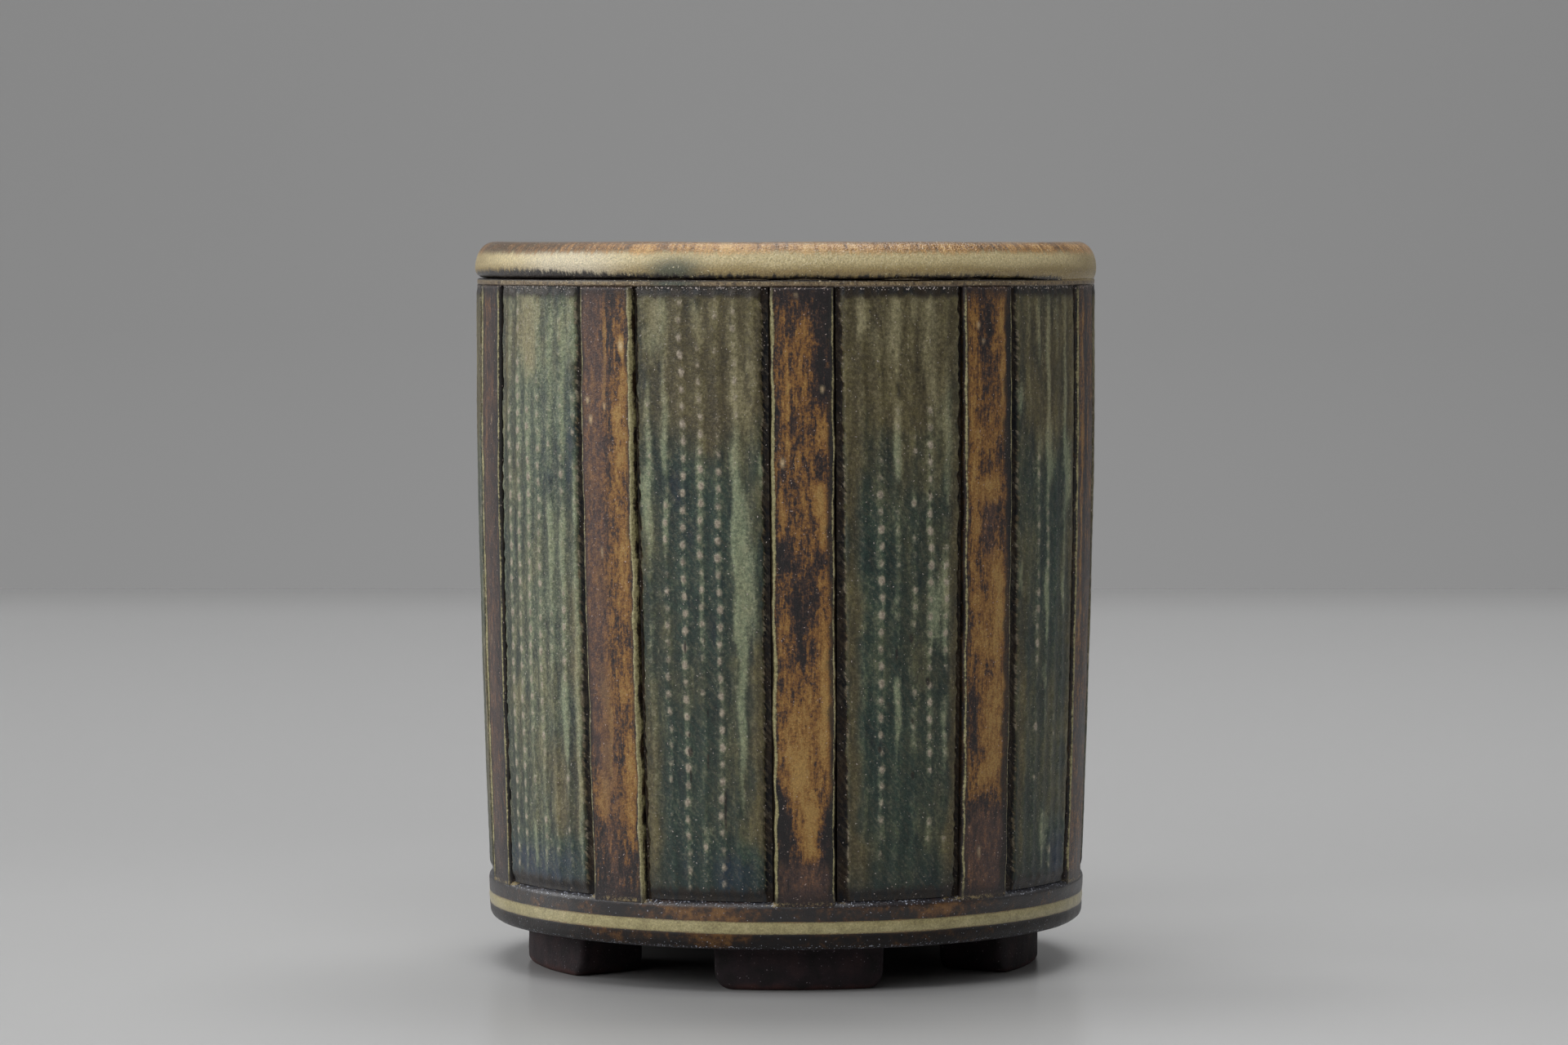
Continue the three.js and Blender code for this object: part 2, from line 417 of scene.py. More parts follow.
def oval(r, z, wide, high, start, end, steps):
    """Points of an oval about (r, z) from one direction to another."""
    turns = [math.radians(start + (end - start) * i / steps) for i in range(steps + 1)]
    return [(r + wide * math.cos(t), z + high * math.sin(t)) for t in turns]


def stepped(outline, step):
    """The closed outline with points no further apart than the step."""
    points = []
    for (r1, z1), (r2, z2) in zip(outline, outline[1:] + outline[:1]):
        count = max(1, math.ceil(math.hypot(r2 - r1, z2 - z1) / step))
        points += [(r1 + (r2 - r1) * i / count, z1 + (z2 - z1) * i / count) for i in range(count)]
    return points


def polar_point(angle, radius, height):
    turn = math.radians(angle)
    return Vector((radius * math.sin(turn), -radius * math.cos(turn), height)) * MM


def mesh_of(name, vertices, faces, material, crease=50):
    mesh = bpy.data.meshes.new(name)
    mesh.from_pydata(vertices, [], faces)
    mesh.shade_smooth()
    mesh.set_sharp_from_angle(angle=math.radians(crease))
    mesh.materials.append(material)
    return mesh


def turned(name, outline, sides, material, hand=None):
    """A ring turned from an outline that runs anticlockwise. hand(angle, r, z) shifts its points."""
    vertices = []
    for i in range(sides):
        angle = 360 * i / sides
        for r, z in outline:
            if hand and r > 0:
                r, z = hand(angle, r, z)
            vertices.append(polar_point(angle, r, z))
    count = len(outline)
    faces = []
    for i in range(sides):
        here = i * count
        there = (i + 1) % sides * count
        for j in range(count):
            k = (j + 1) % count
            faces.append((here + j, there + j, there + k, here + k))
    return mesh_of(name, vertices, faces, material)


def cloud(angle, z, size, seed=0.0):
    """Smooth noise from about -1 to 1 over the vase's surface, with bumps of the given size."""
    turn = math.radians(angle)
    reach = BODY_RADIUS / size
    return noise.noise(Vector((reach * math.sin(turn), -reach * math.cos(turn), z / size + seed)))


# The roll's lower edge, and where it is smeared down onto the ring: the middle and half of that arc.
ROLL_LOW = 127.6
ROLL_CLOSED = (85, 38)


def make_roll(material):
    outline = (
        oval(55.6, 127.9, 1.7, 1.8, -90, 0, 14)
        + oval(54.0, RIM_TOP - 4.7, 3.3, 4.7, 0, 90, 22)
        + oval(53.3, RIM_TOP - 3.8, 3.6, 3.8, 90, 180, 16)
        + [(50.4, SHOULDER_TOP)]
    )

    def hand(angle, r, z):
        top = max(0.0, (z - SHOULDER_TOP) / (RIM_TOP - SHOULDER_TOP))
        r += 0.10 * cloud(angle, z, 14) + 0.04 * cloud(angle, z, 3, 5)
        z += (0.10 * cloud(angle, 0, 18, 9) + 0.03 * cloud(angle, z, 4, 2) - 0.06) * top
        closed = max(0.0, 1 - abs(angle - ROLL_CLOSED[0]) / ROLL_CLOSED[1])
        if z < ROLL_LOW:
            z -= (0.7 * min(1.0, closed * 4) + 0.12 * cloud(angle, 0, 6, 11)) * min(1.0, ROLL_LOW - z)
        return r, z

    return turned("rim_roll_glazed", stepped(outline, 0.7), RING_SIDES, material, hand)


def make_shoulder(material):
    inside = BODY_RADIUS - WALL_INSIDE
    outline = (
        [(inside, CLAD_TOP)]
        + oval(56.6, CLAD_TOP + 0.4, 0.35, 0.4, -90, 0, 6)
        + oval(56.6, SHOULDER_TOP - 0.45, 0.35, 0.38, 0, 80, 6)
        + [(55.6, SHOULDER_TOP - 0.07), (inside, SHOULDER_TOP - 0.05)]
    )

    def hand(angle, r, z):
        if r > 55.5 and z > CLAD_TOP + 0.1:
            z += 0.16 * cloud(angle, 0, 20, 3) + 0.04 * cloud(angle, z, 4, 1) - 0.05
            r += 0.08 * cloud(angle, z, 6, 7)
        return r, z

    return turned("shoulder_ring_glazed", stepped(outline, 1.2), RING_SIDES, material, hand)


def line_edge(angle, seed):
    """How far the edge of the slip line strays from level."""
    return 0.09 * cloud(angle, 0, 9, seed) + 0.05 * cloud(angle, 0, 2.5, seed + 4)


LINE_BED = 53.7


def make_band(material):
    outline = (
        [(51.9, FOOT_TOP), (53.2, FOOT_TOP)]
        + oval(53.2, FOOT_TOP + 1.9, 1.65, 1.9, -90, 0, 12)
        + [(54.9, LINE_BOTTOM), (LINE_BED, LINE_BOTTOM), (LINE_BED, LINE_TOP), (54.95, LINE_TOP)]
        + oval(53.8, CLAD_BOTTOM - 1.3, 1.25, 1.3, 0, 90, 12)
        + [(51.9, CLAD_BOTTOM)]
    )

    def hand(angle, r, z):
        if abs(z - LINE_BOTTOM) < 0.01:
            z += line_edge(angle, 1)
        elif abs(z - LINE_TOP) < 0.01:
            z += line_edge(angle, 2)
        elif r > 53 and z < CLAD_BOTTOM - 0.05:
            r += 0.10 * cloud(angle, z, 9, 2) + 0.05 * cloud(angle, z, 2.2, 6)
        return r, z

    return turned("base_band_glazed", stepped(outline, 0.6), RING_SIDES, material, hand)


def make_slip_line(material):
    inside = LINE_BED + 0.2
    middle = (LINE_BOTTOM + LINE_TOP) / 2
    outside = [(54.88, LINE_BOTTOM), (55.02, middle), (54.93, LINE_TOP)]
    outline = [(inside, LINE_BOTTOM), *outside, (inside, LINE_TOP)]

    def hand(angle, r, z):
        level = (z - LINE_BOTTOM) / (LINE_TOP - LINE_BOTTOM)
        z += line_edge(angle, 1) * (1 - level) + line_edge(angle, 2) * level
        if r > 54:
            r += 0.06 * cloud(angle, z, 5, 8) + 0.03 * cloud(angle, z, 1.5, 3)
        return r, z

    return turned("slip_line_laid", stepped(outline, 0.45), RING_SIDES, material, hand)


def make_wall(material):
    steps = 110
    heights = [SLAB_TOP + (CLAD_TOP - SLAB_TOP) * i / steps for i in range(steps + 1)]
    outside = [(body_radius(z) - WALL_OUTSIDE, z) for z in heights[::10]]
    inside = [(body_radius(z) - WALL_INSIDE, z) for z in reversed(heights)]

    def hand(angle, r, z):
        if r < body_radius(z) - WALL_INSIDE + 0.1 and SLAB_TOP + 0.5 < z < CLAD_TOP - 0.5:
            r += 0.16 * math.sin((z + angle / 72) * 2 * math.pi / 5) + 0.12 * cloud(angle, z, 16)
        return r, z

    return turned("wall_glazed", outside + inside, SLAB_SIDES, material, hand)


def body_radius(z):
    below = max(0.0, (TAPER_TOP - z) / (TAPER_TOP - CLAD_BOTTOM))
    return BODY_RADIUS - FOOT_TAPER * below**TAPER_POWER


def make_floor(material):
    """The floor slab, as two round faces that meet at its edge, each closed at its middle."""
    sides = SLAB_SIDES
    edge, steps = 51.6, 34
    radii = [edge * i / steps for i in range(steps + 1)]
    rings = [(r, FOOT_TOP) for r in radii] + [(r, SLAB_TOP) for r in reversed(radii)]
    vertices = [polar_point(0, 0, FOOT_TOP)]
    faces = []
    for r, z in rings[1:-1]:
        for i in range(sides):
            angle = 360 * i / sides
            lift = 0.0
            if z == SLAB_TOP and r < 49:
                lift = 0.12 * math.sin((r + angle / 90) * 2 * math.pi / 4) + 0.1 * cloud(angle, r, 12)
            vertices.append(polar_point(angle, r, z + lift))
    vertices.append(polar_point(0, 0, SLAB_TOP))
    last = len(vertices) - 1
    count = len(rings) - 2
    for i in range(sides):
        j = (i + 1) % sides
        faces.append((0, 1 + j, 1 + i))
        for k in range(count - 1):
            low = 1 + k * sides
            high = low + sides
            faces.append((low + i, low + j, high + j, high + i))
        faces.append((last, last - sides + i, last - sides + j))
    return mesh_of("floor_slab_glazed", vertices, faces, material)


def rounded_block(half, inside, outside, corner, step):
    """A block's outline from above as (distance along the arc, radius) points, anticlockwise."""
    corners = [(half, outside, 0), (half, inside, 1), (-half, inside, 2), (-half, outside, 3)]
    outline = []
    for along, r, quarter in corners:
        centre = (along - math.copysign(corner, along), r + (-corner if r == outside else corner))
        for i in range(5):
            turn = math.radians(90 - 90 * quarter - 22.5 * i)
            outline.append((centre[0] + corner * math.cos(turn), centre[1] + corner * math.sin(turn)))
    return stepped(outline, step)[::-1]


FIRST_FOOT = 3
FOOT_SPACING = 72


def make_foot(number, material):
    """A block of clay cut from a ring and pared round at its lower corners."""
    inside, half_width, corner, edge = 33.6, 15.7, 3.0, 0.9
    outside = 46.7 if number == 2 else 47.7
    low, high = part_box(f"foot_{number}")
    middle = (low + high) / 2 / MM
    centre = math.degrees(math.atan2(middle.x, -middle.y))
    centre = FOOT_SPACING * round((centre - FIRST_FOOT) / FOOT_SPACING) + FIRST_FOOT
    levels = [edge * (1 - math.cos(math.radians(15 * i))) for i in range(7)]
    levels += [edge + (FOOT_TOP - edge) * (i + 1) / 16 for i in range(16)]
    rings = []
    for z in levels:
        half = half_width - drawn_in(corner, z) - 0.35 * (1 - z / FOOT_TOP)
        inward = drawn_in(edge, z)
        rings.append(rounded_block(half, inside + inward, outside - inward, edge, 0.5))
    count = max(len(ring) for ring in rings)
    vertices = []
    for z, ring in zip(levels, rings):
        for along, r in spaced_out(ring, count):
            angle = centre + along / outside / DEGREE
            swell = 0.1 * cloud(angle, z + r, 5, number) + 0.05 * cloud(angle, z - r, 1.6, number)
            if z > 0:
                r += swell
            vertices.append(polar_point(angle, r, z))
    faces = [tuple(range(count))[::-1], tuple(range(len(vertices) - count, len(vertices)))]
    for k in range(len(levels) - 1):
        for i in range(count):
            j = (i + 1) % count
            here = k * count
            faces.append((here + i, here + j, here + count + j, here + count + i))
    return mesh_of(f"foot_{number}_clay", vertices, faces, material)


def drawn_in(radius, z):
    down = 1 - min(1.0, z / radius)
    return radius * (1 - math.sqrt(1 - down**2))


def spaced_out(outline, count):
    """The same closed outline with a given number of evenly spaced points."""
    ends = outline[1:] + outline[:1]
    lengths = [math.dist(a, b) for a, b in zip(outline, ends)]
    reach = np.concatenate([[0.0], np.cumsum(lengths)])
    marks = np.linspace(0, reach[-1], count, endpoint=False)
    closed = outline + outline[:1]
    alongs = np.interp(marks, reach, [p[0] for p in closed])
    radii = np.interp(marks, reach, [p[1] for p in closed])
    return list(zip(alongs, radii))


# Glazes and clay.


def tint(code):
    """A colour written as six hexadecimal digits, in the linear values that a shader reads."""
    values = [int(code[i : i + 2], 16) / 255 for i in (0, 2, 4)]
    return tuple(v / 12.92 if v <= 0.04045 else ((v + 0.055) / 1.055) ** 2.4 for v in values)


class Glaze(Wires):
    """A material being made. Its nodes read places in millimetres, and layers stored on the piece."""

    def __init__(self, name, code="000000"):
        self.material = bpy.data.materials.new(name)
        self.material.use_nodes = True
        super().__init__(self.material.node_tree)
        self.shader = self.tree.nodes["Principled BSDF"]
        self.place = self.stretched(self.flow("ShaderNodeTexCoord", output="Object"), (1 / MM,) * 3)
        self.colour = tint(code)

    def along(self, axis):
        return self.flow("ShaderNodeSeparateXYZ", {0: self.place}, axis)

    def layer(self, name):
        return self.flow("ShaderNodeAttribute", output="Fac", attribute_name=name)

    def grain(self, size, detail=2.0, roughness=0.5):
        return self.noise(self.place, size, detail, roughness)

    def runs(self, size, length, detail=4.0, roughness=0.6, distortion=0.0):
        """Noise drawn out downwards, as glaze runs and brush strokes are."""
        drawn = self.stretched(self.place, (1, 1, size / length))
        return self.noise(drawn, size, detail, roughness, distortion)

    def mixed(self, share, first, second):
        return self.flow("ShaderNodeMix", {0: share, 6: first, 7: second}, 2, data_type="RGBA")

    def ramp(self, value, *stops):
        node = self.node("ShaderNodeValToRGB", {"Fac": value})
        points = node.color_ramp.elements
        while len(points) < len(stops):
            points.new(1.0)
        for point, (place, code) in zip(points, stops):
            point.position = place
            point.color = (*tint(code), 1)
        return Flow(self, node.outputs["Color"])

    def cover(self, share, colour):
        """Lays a further colour over the material's own, as far as the share says."""
        if isinstance(colour, str):
            colour = tint(colour)
        self.colour = self.mixed(share, self.colour, colour)

    def scale(self, factor):
        inputs = {0: self.colour, "Scale": factor}
        self.colour = self.flow("ShaderNodeVectorMath", inputs, operation="SCALE")

    def crystals_and_glints(self, density, code):
        """Tiny pale specks, partly the glaze's crystals and partly painted glints, rare where the density
        is 0 and thick where it is 0.15.
        """
        self.cover(self.rise(self.grain(0.3, 0.0) + density, 0.79, 0.84), code)

    def speckle(self, amount):
        """The fine grain of light and dark that the whole glaze has."""
        self.scale(self.grain(0.24, 1.0).off(2 * amount) + 1)

    def finish(self, roughness, relief=None, depth=0.0, index=1.65):
        """Sets up the shader, with a relief that is so many millimetres deep."""
        self.join("Base Color", self.colour if isinstance(self.colour, Flow) else (*self.colour, 1))
        self.join("Roughness", roughness)
        self.join("IOR", index)
        if relief:
            inputs = {"Height": relief, "Distance": depth * MM, "Strength": 1.0}
            self.join("Normal", self.flow("ShaderNodeBump", inputs))
        return self.material

    def join(self, name, value):
        socket = self.shader.inputs[name]
        if isinstance(value, Flow):
            self.tree.links.new(value.socket, socket)
        else:
            socket.default_value = value


def make_stave_glaze():
    """Dark umber that breaks to rust and gold where it runs thin, with pale lines along the edges."""
    glaze = Glaze("stave_glaze")
    mottle = glaze.runs(1.1, 3.2, 9.0, 0.72, 0.3)
    streaks = glaze.runs(0.4, 5.0, 3.0)
    crumbs = glaze.grain(0.55, 4.0, 0.7)
    pools = glaze.grain(8.0)
    height = glaze.along("Z")
    warm = mottle.off(1.15) + crumbs.off(0.75) + streaks.off(0.4) + pools.off(0.3)
    warm = warm + glaze.layer("gold") + 0.49
    umber = (0.30, "1d191a"), (0.41, "3a2b28"), (0.48, "5a3f29")
    gold = (0.55, "7d552c"), (0.65, "946b36"), (0.82, "a9854b")
    glaze.colour = glaze.ramp(warm, *umber, *gold)
    plum = glaze.rise(glaze.layer("plum") + mottle.off(1.2), 0.1, 0.9)
    film = glaze.ramp(mottle * 0.6 + crumbs * 0.4, (0.38, "3d3337"), (0.5, "61493f"), (0.6, "876145"))
    glaze.cover(plum * 0.8, film)
    edge = glaze.layer("shade") + mottle.off(2.5) + crumbs.off(1)
    glaze.cover(glaze.rise(edge, -0.6, 0.35) * 0.85, "1a1918")
    line = glaze.rise(glaze.layer("line") + streaks.off(0.4) + crumbs.off(0.5), -0.06, 0.14)
    glaze.cover(line * 0.95, glaze.ramp(crumbs, (0.35, "7f784f"), (0.62, "b8af82")))
    ends = glaze.highest(height - (CLAD_TOP - 1.6), CLAD_BOTTOM + 1.4 - height) + mottle.off(6)
    glaze.cover(glaze.rise(ends, -1.5, 1.5) * 0.8, "272022")
    foot = glaze.bell(height - CLAD_BOTTOM + 0.35, 0.3) * glaze.rise(pools * 0.5 + crumbs, 0.72, 0.88)
    glaze.cover(foot * 0.8, "a8966a")
    glaze.cover(glaze.layer("speck"), "d8bf96")
    # Thick pale specks along the top edge: a painted highlight where the rounded top catches the light.
    crest = glaze.rise(height + mottle.off(1.5), CLAD_TOP - 1, CLAD_TOP - 0.3)
    glaze.crystals_and_glints(crest * 0.14, "b7a49c")
    glaze.speckle(0.6)
    roughness = glaze.rise(pools, 0.3, 0.7) * 0.08 + 0.34
    return glaze.finish(roughness, relief=glaze.grain(0.3) + mottle, depth=0.1, index=1.5)


def make_panel_glaze():
    """Blue-green that pools dark between the ribs and breaks pale on their rows of dots."""
    glaze = Glaze("panel_glaze")
    streaks = glaze.runs(1.3, 6.0, 4.0, 0.6, 0.4)
    fine = glaze.grain(0.6, 4.0, 0.6)
    clouds = glaze.runs(5.0, 12.0, 3.0)
    height = glaze.along("Z")
    from_left = glaze.layer("from_left")
    dots = glaze.layer("dots")
    groove = glaze.layer("groove")
    warm = glaze.layer("warm") + clouds.off(1.2) + streaks.off(0.5)
    tone = streaks.off(0.35) + fine.off(0.4) + clouds.off(0.35) + glaze.layer("line") * 0.05 + 0.48
    glaze.colour = glaze.ramp(tone, (0.34, "182422"), (0.5, "2c3e36"), (0.66, "495c4a"))
    olive = glaze.ramp(tone, (0.34, "302a1d"), (0.5, "554d33"), (0.66, "776f4a"))
    glaze.cover(glaze.rise(warm, -0.35, 0.6), olive)
    foot = glaze.fall(height - streaks.off(14), CLAD_BOTTOM + 1, CLAD_BOTTOM + 9)
    glaze.cover(foot * 0.65, "1a2a2c")
    glaze.cover(glaze.fall(warm, -1.1, -0.35) * 0.7, "1e3049")
    run = glaze.layer("streak") + glaze.layer("halo") * dots * 0.7 + streaks.off(0.9) + fine.off(0.5)
    pale = glaze.ramp(fine, (0.35, "717c62"), (0.65, "a1a987"))
    straw = glaze.ramp(fine, (0.35, "7e7757"), (0.65, "a59d78"))
    pale = glaze.mixed(glaze.rise(warm, -0.1, 0.7), pale, straw)
    glaze.cover(glaze.rise(run, 0.05, 1.1) * 0.9, pale)
    core = glaze.rise(glaze.layer("dot") * dots + fine.off(0.5), 0.1, 0.7)
    glaze.cover(core * 0.9, glaze.ramp(fine, (0.4, "8f8374"), (0.6, "bbad9b")))
    crack = glaze.rise(glaze.layer("crack") + fine.off(0.8), 0.3, 0.7)
    glaze.cover(crack * 0.85, "1a1513")
    glaze.cover(glaze.bell(groove - 0.35, 0.16) * 0.6, "45422c")
    ragged = groove + fine.off(0.6)
    deep = glaze.ramp(clouds * 0.6 + fine * 0.4, (0.4, "0e1016"), (0.6, "2c211a"))
    glaze.cover(glaze.rise(ragged, 0.3, 0.8) * 0.95, deep)
    slanting = glaze.vector(from_left * 1.2 + height, (from_left - height) * 0.25, 0.0)
    feathers = glaze.noise(slanting, 0.9)
    lumps = glaze.rise(feathers + fine.off(0.4), 0.48, 0.58) * glaze.bell(ragged - 0.5, 0.35)
    glaze.cover(lumps * 0.8, glaze.ramp(streaks, (0.4, "6f5f44"), (0.6, "9a8f7a")))
    # Darker at the panel's top and bottom ends.
    ends = glaze.highest(height - CLAD_TOP, (CLAD_BOTTOM - height) * 0.8) + fine.off(1.2) + streaks.off(3)
    dark_at_ends = glaze.ramp(streaks, (0.4, "13161c"), (0.55, "281f18"))
    glaze.cover(glaze.rise(ends, -2.3, -1.2) * 0.92, dark_at_ends)
    # Thick pale specks along the top edge: a painted highlight where the rounded top catches the light.
    crest = glaze.rise(height + fine.off(0.8), CLAD_TOP - 0.7, CLAD_TOP - 0.3)
    glaze.crystals_and_glints(crest * 0.16, "b3a8a2")
    glaze.speckle(0.55)
    glaze.join("Specular IOR Level", 0.5 - groove * 0.35)
    relief = glaze.grain(0.3) + fine * 0.6
    return glaze.finish(roughness=0.38, relief=relief, depth=0.09, index=1.5)


def make_rim_glaze():
    """Amber brushed over the top of the roll, cream round its middle with a painted highlight on its left,
    tan below and dark in the groove.
    """
    glaze = Glaze("rim_glaze")
    height = glaze.along("Z")
    outward = glaze.stretched(glaze.place, (1, 1, 0))
    outward = glaze.flow("ShaderNodeVectorMath", {0: outward}, operation="NORMALIZE")
    around = glaze.stretched(outward, (BODY_RADIUS,) * 3)
    rising = glaze.vector(0.0, 0.0, height * 0.12)
    brushed = glaze.flow("ShaderNodeVectorMath", {0: around, 1: rising}, operation="ADD")
    brush = glaze.noise(brushed, 0.9, 4.0, 0.65)
    clouds = glaze.grain(9.0, 3.0)
    fine = glaze.grain(0.45, 3.0, 0.6)
    glaze.colour = glaze.ramp(fine, (0.3, "c0ae80"), (0.5, "d9c795"), (0.7, "ecdcae"))
    tan = glaze.ramp(fine * 0.5 + clouds * 0.5, (0.35, "8f7848"), (0.65, "b09b68"))
    low = glaze.fall(height - clouds.off(2) - fine.off(0.8), 127.4, 129.6)
    glaze.cover(glaze.highest(low, glaze.rise(glaze.layer("tan"), 0.0, 1.0) * 0.8), tan)
    # Painted highlight: a paler, whiter patch on the left of the roll, where the left lamp catches it.
    glaze.cover(glaze.rise(glaze.layer("pale"), 0.0, 1.0) * 0.35, "f6f0e0")
    gold = brush * 0.7 + fine * 0.4 + clouds.off(0.4) + glaze.layer("amber")
    amber = glaze.ramp(gold, (0.38, "46311f"), (0.48, "835c34"), (0.57, "b5864e"), (0.70, "dab277"))
    upper = glaze.rise(height + brush.off(2) + clouds.off(1.2) + fine.off(1.2), 130.1, 131.3)
    glaze.cover(upper * 0.95, amber)
    crown = glaze.rise(height + brush.off(0.8), 132.1, 132.5)
    glaze.cover(crown * 0.6, "5b4531")
    ledge = glaze.fall(height - fine.off(0.3), SHOULDER_TOP - 0.6, SHOULDER_TOP - 0.3)
    flat = glaze.ramp(fine * 0.5 + brush * 0.5, (0.38, "43362a"), (0.5, "7b674a"), (0.62, "a6916b"))
    glaze.cover(ledge, flat)
    teal = glaze.rise(glaze.layer("teal") + fine.off(0.6), 0.1, 1.0)
    glaze.cover(teal * 0.8, "38493f")
    dark = height - glaze.layer("dark") - brush.off(2.6) - fine.off(1.2) - clouds.off(1)
    groove = glaze.fall(dark, 126.3, 127.2) * glaze.rise(height, SHOULDER_TOP - 0.6, SHOULDER_TOP - 0.25)
    glaze.cover(groove, "241b17")
    lip = glaze.fall(height - fine.off(1) - brush.off(0.8), CLAD_TOP + 0.05, CLAD_TOP + 0.35)
    glaze.cover(lip * 0.7, "4a3a30")
    glaze.crystals_and_glints(0.03, "e0d4b2")
    glaze.speckle(0.5)
    return glaze.finish(roughness=0.28, relief=glaze.grain(0.3) + fine, depth=0.16)


def make_base_glaze():
    """Dark brown with rust patches, a bluish sheen painted on the lip, broken cream under the staves and
    painted shade below the pale line, where the band turns under.
    """
    glaze = Glaze("base_glaze")
    runs = glaze.runs(1.6, 1.6, 6.0, 0.68)
    fine = glaze.grain(0.5, 3.0, 0.6)
    clouds = glaze.grain(10.0)
    height = glaze.along("Z")
    # Below the pale line the band turns under, and painted shade darkens it there.
    under = glaze.fall(height - runs.off(0.6), LINE_BOTTOM - 0.5, LINE_BOTTOM + 0.3)
    warm = runs.off(1) + clouds.off(0.4) + glaze.layer("rust") - under * 0.06 + 0.47
    glaze.colour = glaze.ramp(warm, (0.45, "1e1a1b"), (0.56, "32241c"), (0.66, "5b3d22"), (0.78, "805a2e"))
    glaze.cover(under * 0.35, "0d0b0a")
    # The lip is painted bluish grey: partly the glaze's bluish crystals, partly a painted sheen where the
    # lip faces up.
    lip = glaze.rise(height + runs.off(1.2), CLAD_BOTTOM - 1.3, CLAD_BOTTOM - 0.6)
    glaze.cover(lip * 0.8, "23242c")
    crest = glaze.rise(height + fine.off(1), CLAD_BOTTOM - 0.9, CLAD_BOTTOM - 0.5)
    cream = crest * glaze.rise(glaze.layer("cream") + runs.off(2.2), 0.35, 0.6)
    glaze.cover(cream * 0.8, "a8966a")
    glaze.cover(glaze.fall(height, FOOT_TOP + 0.1, FOOT_TOP + 0.5), "1c1415")
    # Pale specks on the lip and along the bottom edge: partly the glaze's crystals, partly painted glints.
    lower = glaze.fall(height - runs.off(0.8), FOOT_TOP + 0.5, FOOT_TOP + 1)
    glaze.crystals_and_glints(lip * 0.12 + lower * 0.12, "a7abb8")
    glaze.speckle(0.4)
    glaze.join("Specular IOR Level", 0.5 - under * 0.3)
    return glaze.finish(roughness=0.36, relief=glaze.grain(0.3) + runs * 0.5, depth=0.07)


def make_slip_material():
    """Pale slip with a grainy face, thin and rusty at its upper and lower edges."""
    slip = Glaze("slip_line")
    runs = slip.grain(3.0, 4.0, 0.65)
    fine = slip.grain(0.45, 3.0, 0.7)
    height = slip.along("Z")
    slip.colour = slip.ramp(runs * 0.5 + fine * 0.5, (0.36, "8b8058"), (0.5, "aa9f72"), (0.64, "c0b587"))
    from_edge = slip.math("MINIMUM", LINE_TOP - height, height - LINE_BOTTOM)
    thin = slip.fall(from_edge - fine.off(0.9) - runs.off(0.5), 0.0, 0.3)
    slip.cover(thin * 0.75, slip.ramp(runs, (0.4, "3a2a1c"), (0.6, "6f4f2a")))
    slip.speckle(0.5)
    return slip.finish(roughness=0.28, relief=slip.grain(0.3), depth=0.07)


def make_inside_glaze():
    glaze = Glaze("inside_glaze")
    clouds = glaze.grain(14.0, 3.0)
    tone = glaze.runs(3.0, 12.0, 5.0, 0.6) * 0.5 + clouds * 0.5
    glaze.colour = glaze.ramp(tone, (0.38, "33261c"), (0.5, "574127"), (0.62, "7a6340"))
    under = glaze.fall(glaze.along("Z"), FOOT_TOP + 0.05, FOOT_TOP + 0.3)
    glaze.cover(under, glaze.ramp(clouds, (0.4, "3a2b2a"), (0.6, "4a3632")))
    glaze.speckle(0.25)
    return glaze.finish(roughness=0.45, relief=glaze.grain(0.35), depth=0.05)


def make_foot_clay():
    clay = Glaze("foot_clay")
    clouds = clay.grain(4.0, 4.0, 0.6)
    clay.colour = clay.ramp(clouds, (0.35, "1b1416"), (0.5, "261b1f"), (0.65, "342426"))
    clay.cover(clay.fall(clay.along("Z") - clouds.off(3), 0.1, 1.4) * 0.6, "45231d")
    clay.crystals_and_glints(0.0, "7d7278")
    clay.speckle(0.3)
    return clay.finish(roughness=0.8, relief=clay.grain(0.4, 3.0), depth=0.12, index=1.45)


def painted(piece, layer, marks):
    """Stores on a piece how strongly upright marks cover each point. A mark is its distance from the
    left edge, its lower and upper end, its half width and its strength. It weaves a little, runs
    narrow downwards and fades at its ends. On a ring the distance is the angle in degrees."""
    mesh = piece.data
    count = len(mesh.vertices)
    places = np.empty(count * 3)
    mesh.vertices.foreach_get("co", places)
    x, y, z = places.reshape(-1, 3).T / MM
    if "from_left" in mesh.attributes:
        aside = np.empty(count)
        mesh.attributes["from_left"].data.foreach_get("value", aside)
    else:
        aside = np.degrees(np.arctan2(x, -y))
    cover = np.zeros(count)
    for middle, low, high, half_width, strength in marks:
        fade = 0.8 + 0.45 * (high - low)
        share = np.clip((z - low) / fade + 0.5, 0, 1) * np.clip((high - z) / fade + 0.5, 0, 1)
        up = np.clip((z - low) / (high - low), 0, 1)
        weave = np.sin(z * 0.45 + middle) * 0.25 * min(half_width, 1.5)
        width = half_width * (0.75 + 0.4 * up)
        across = np.exp(-(((aside - middle - weave) / width) ** 2))
        cover += strength * (3 - 2 * share) * share**2 * across
    attribute = mesh.attributes.new(layer, "FLOAT", "POINT")
    attribute.data.foreach_set("value", cover.astype(np.float32))


# Widths in millimetres of the pale lines and dark shades along the staves' left and right edges.
STAVE_LABELS = ("Left Line", "Right Line", "Left Shade", "Right Shade")
STAVE_EDGES = {
    1: (0.6, 0.3, 0.5, 1.1),
    2: (0.35, 0.3, 0.6, 1.9),
    3: (0.4, 0.3, 0.6, 0.6),
    9: (0.9, 0.3, 1, 0.8),
    10: (0.3, 0.8, 0.6, 0.9),
}

# How many degrees the laid clay strays from the drawn edge between two pieces.
EDGE_SHIFTS = {"stave_9": ("Right", -1.2), "panel_9": ("Left", -1.2)}

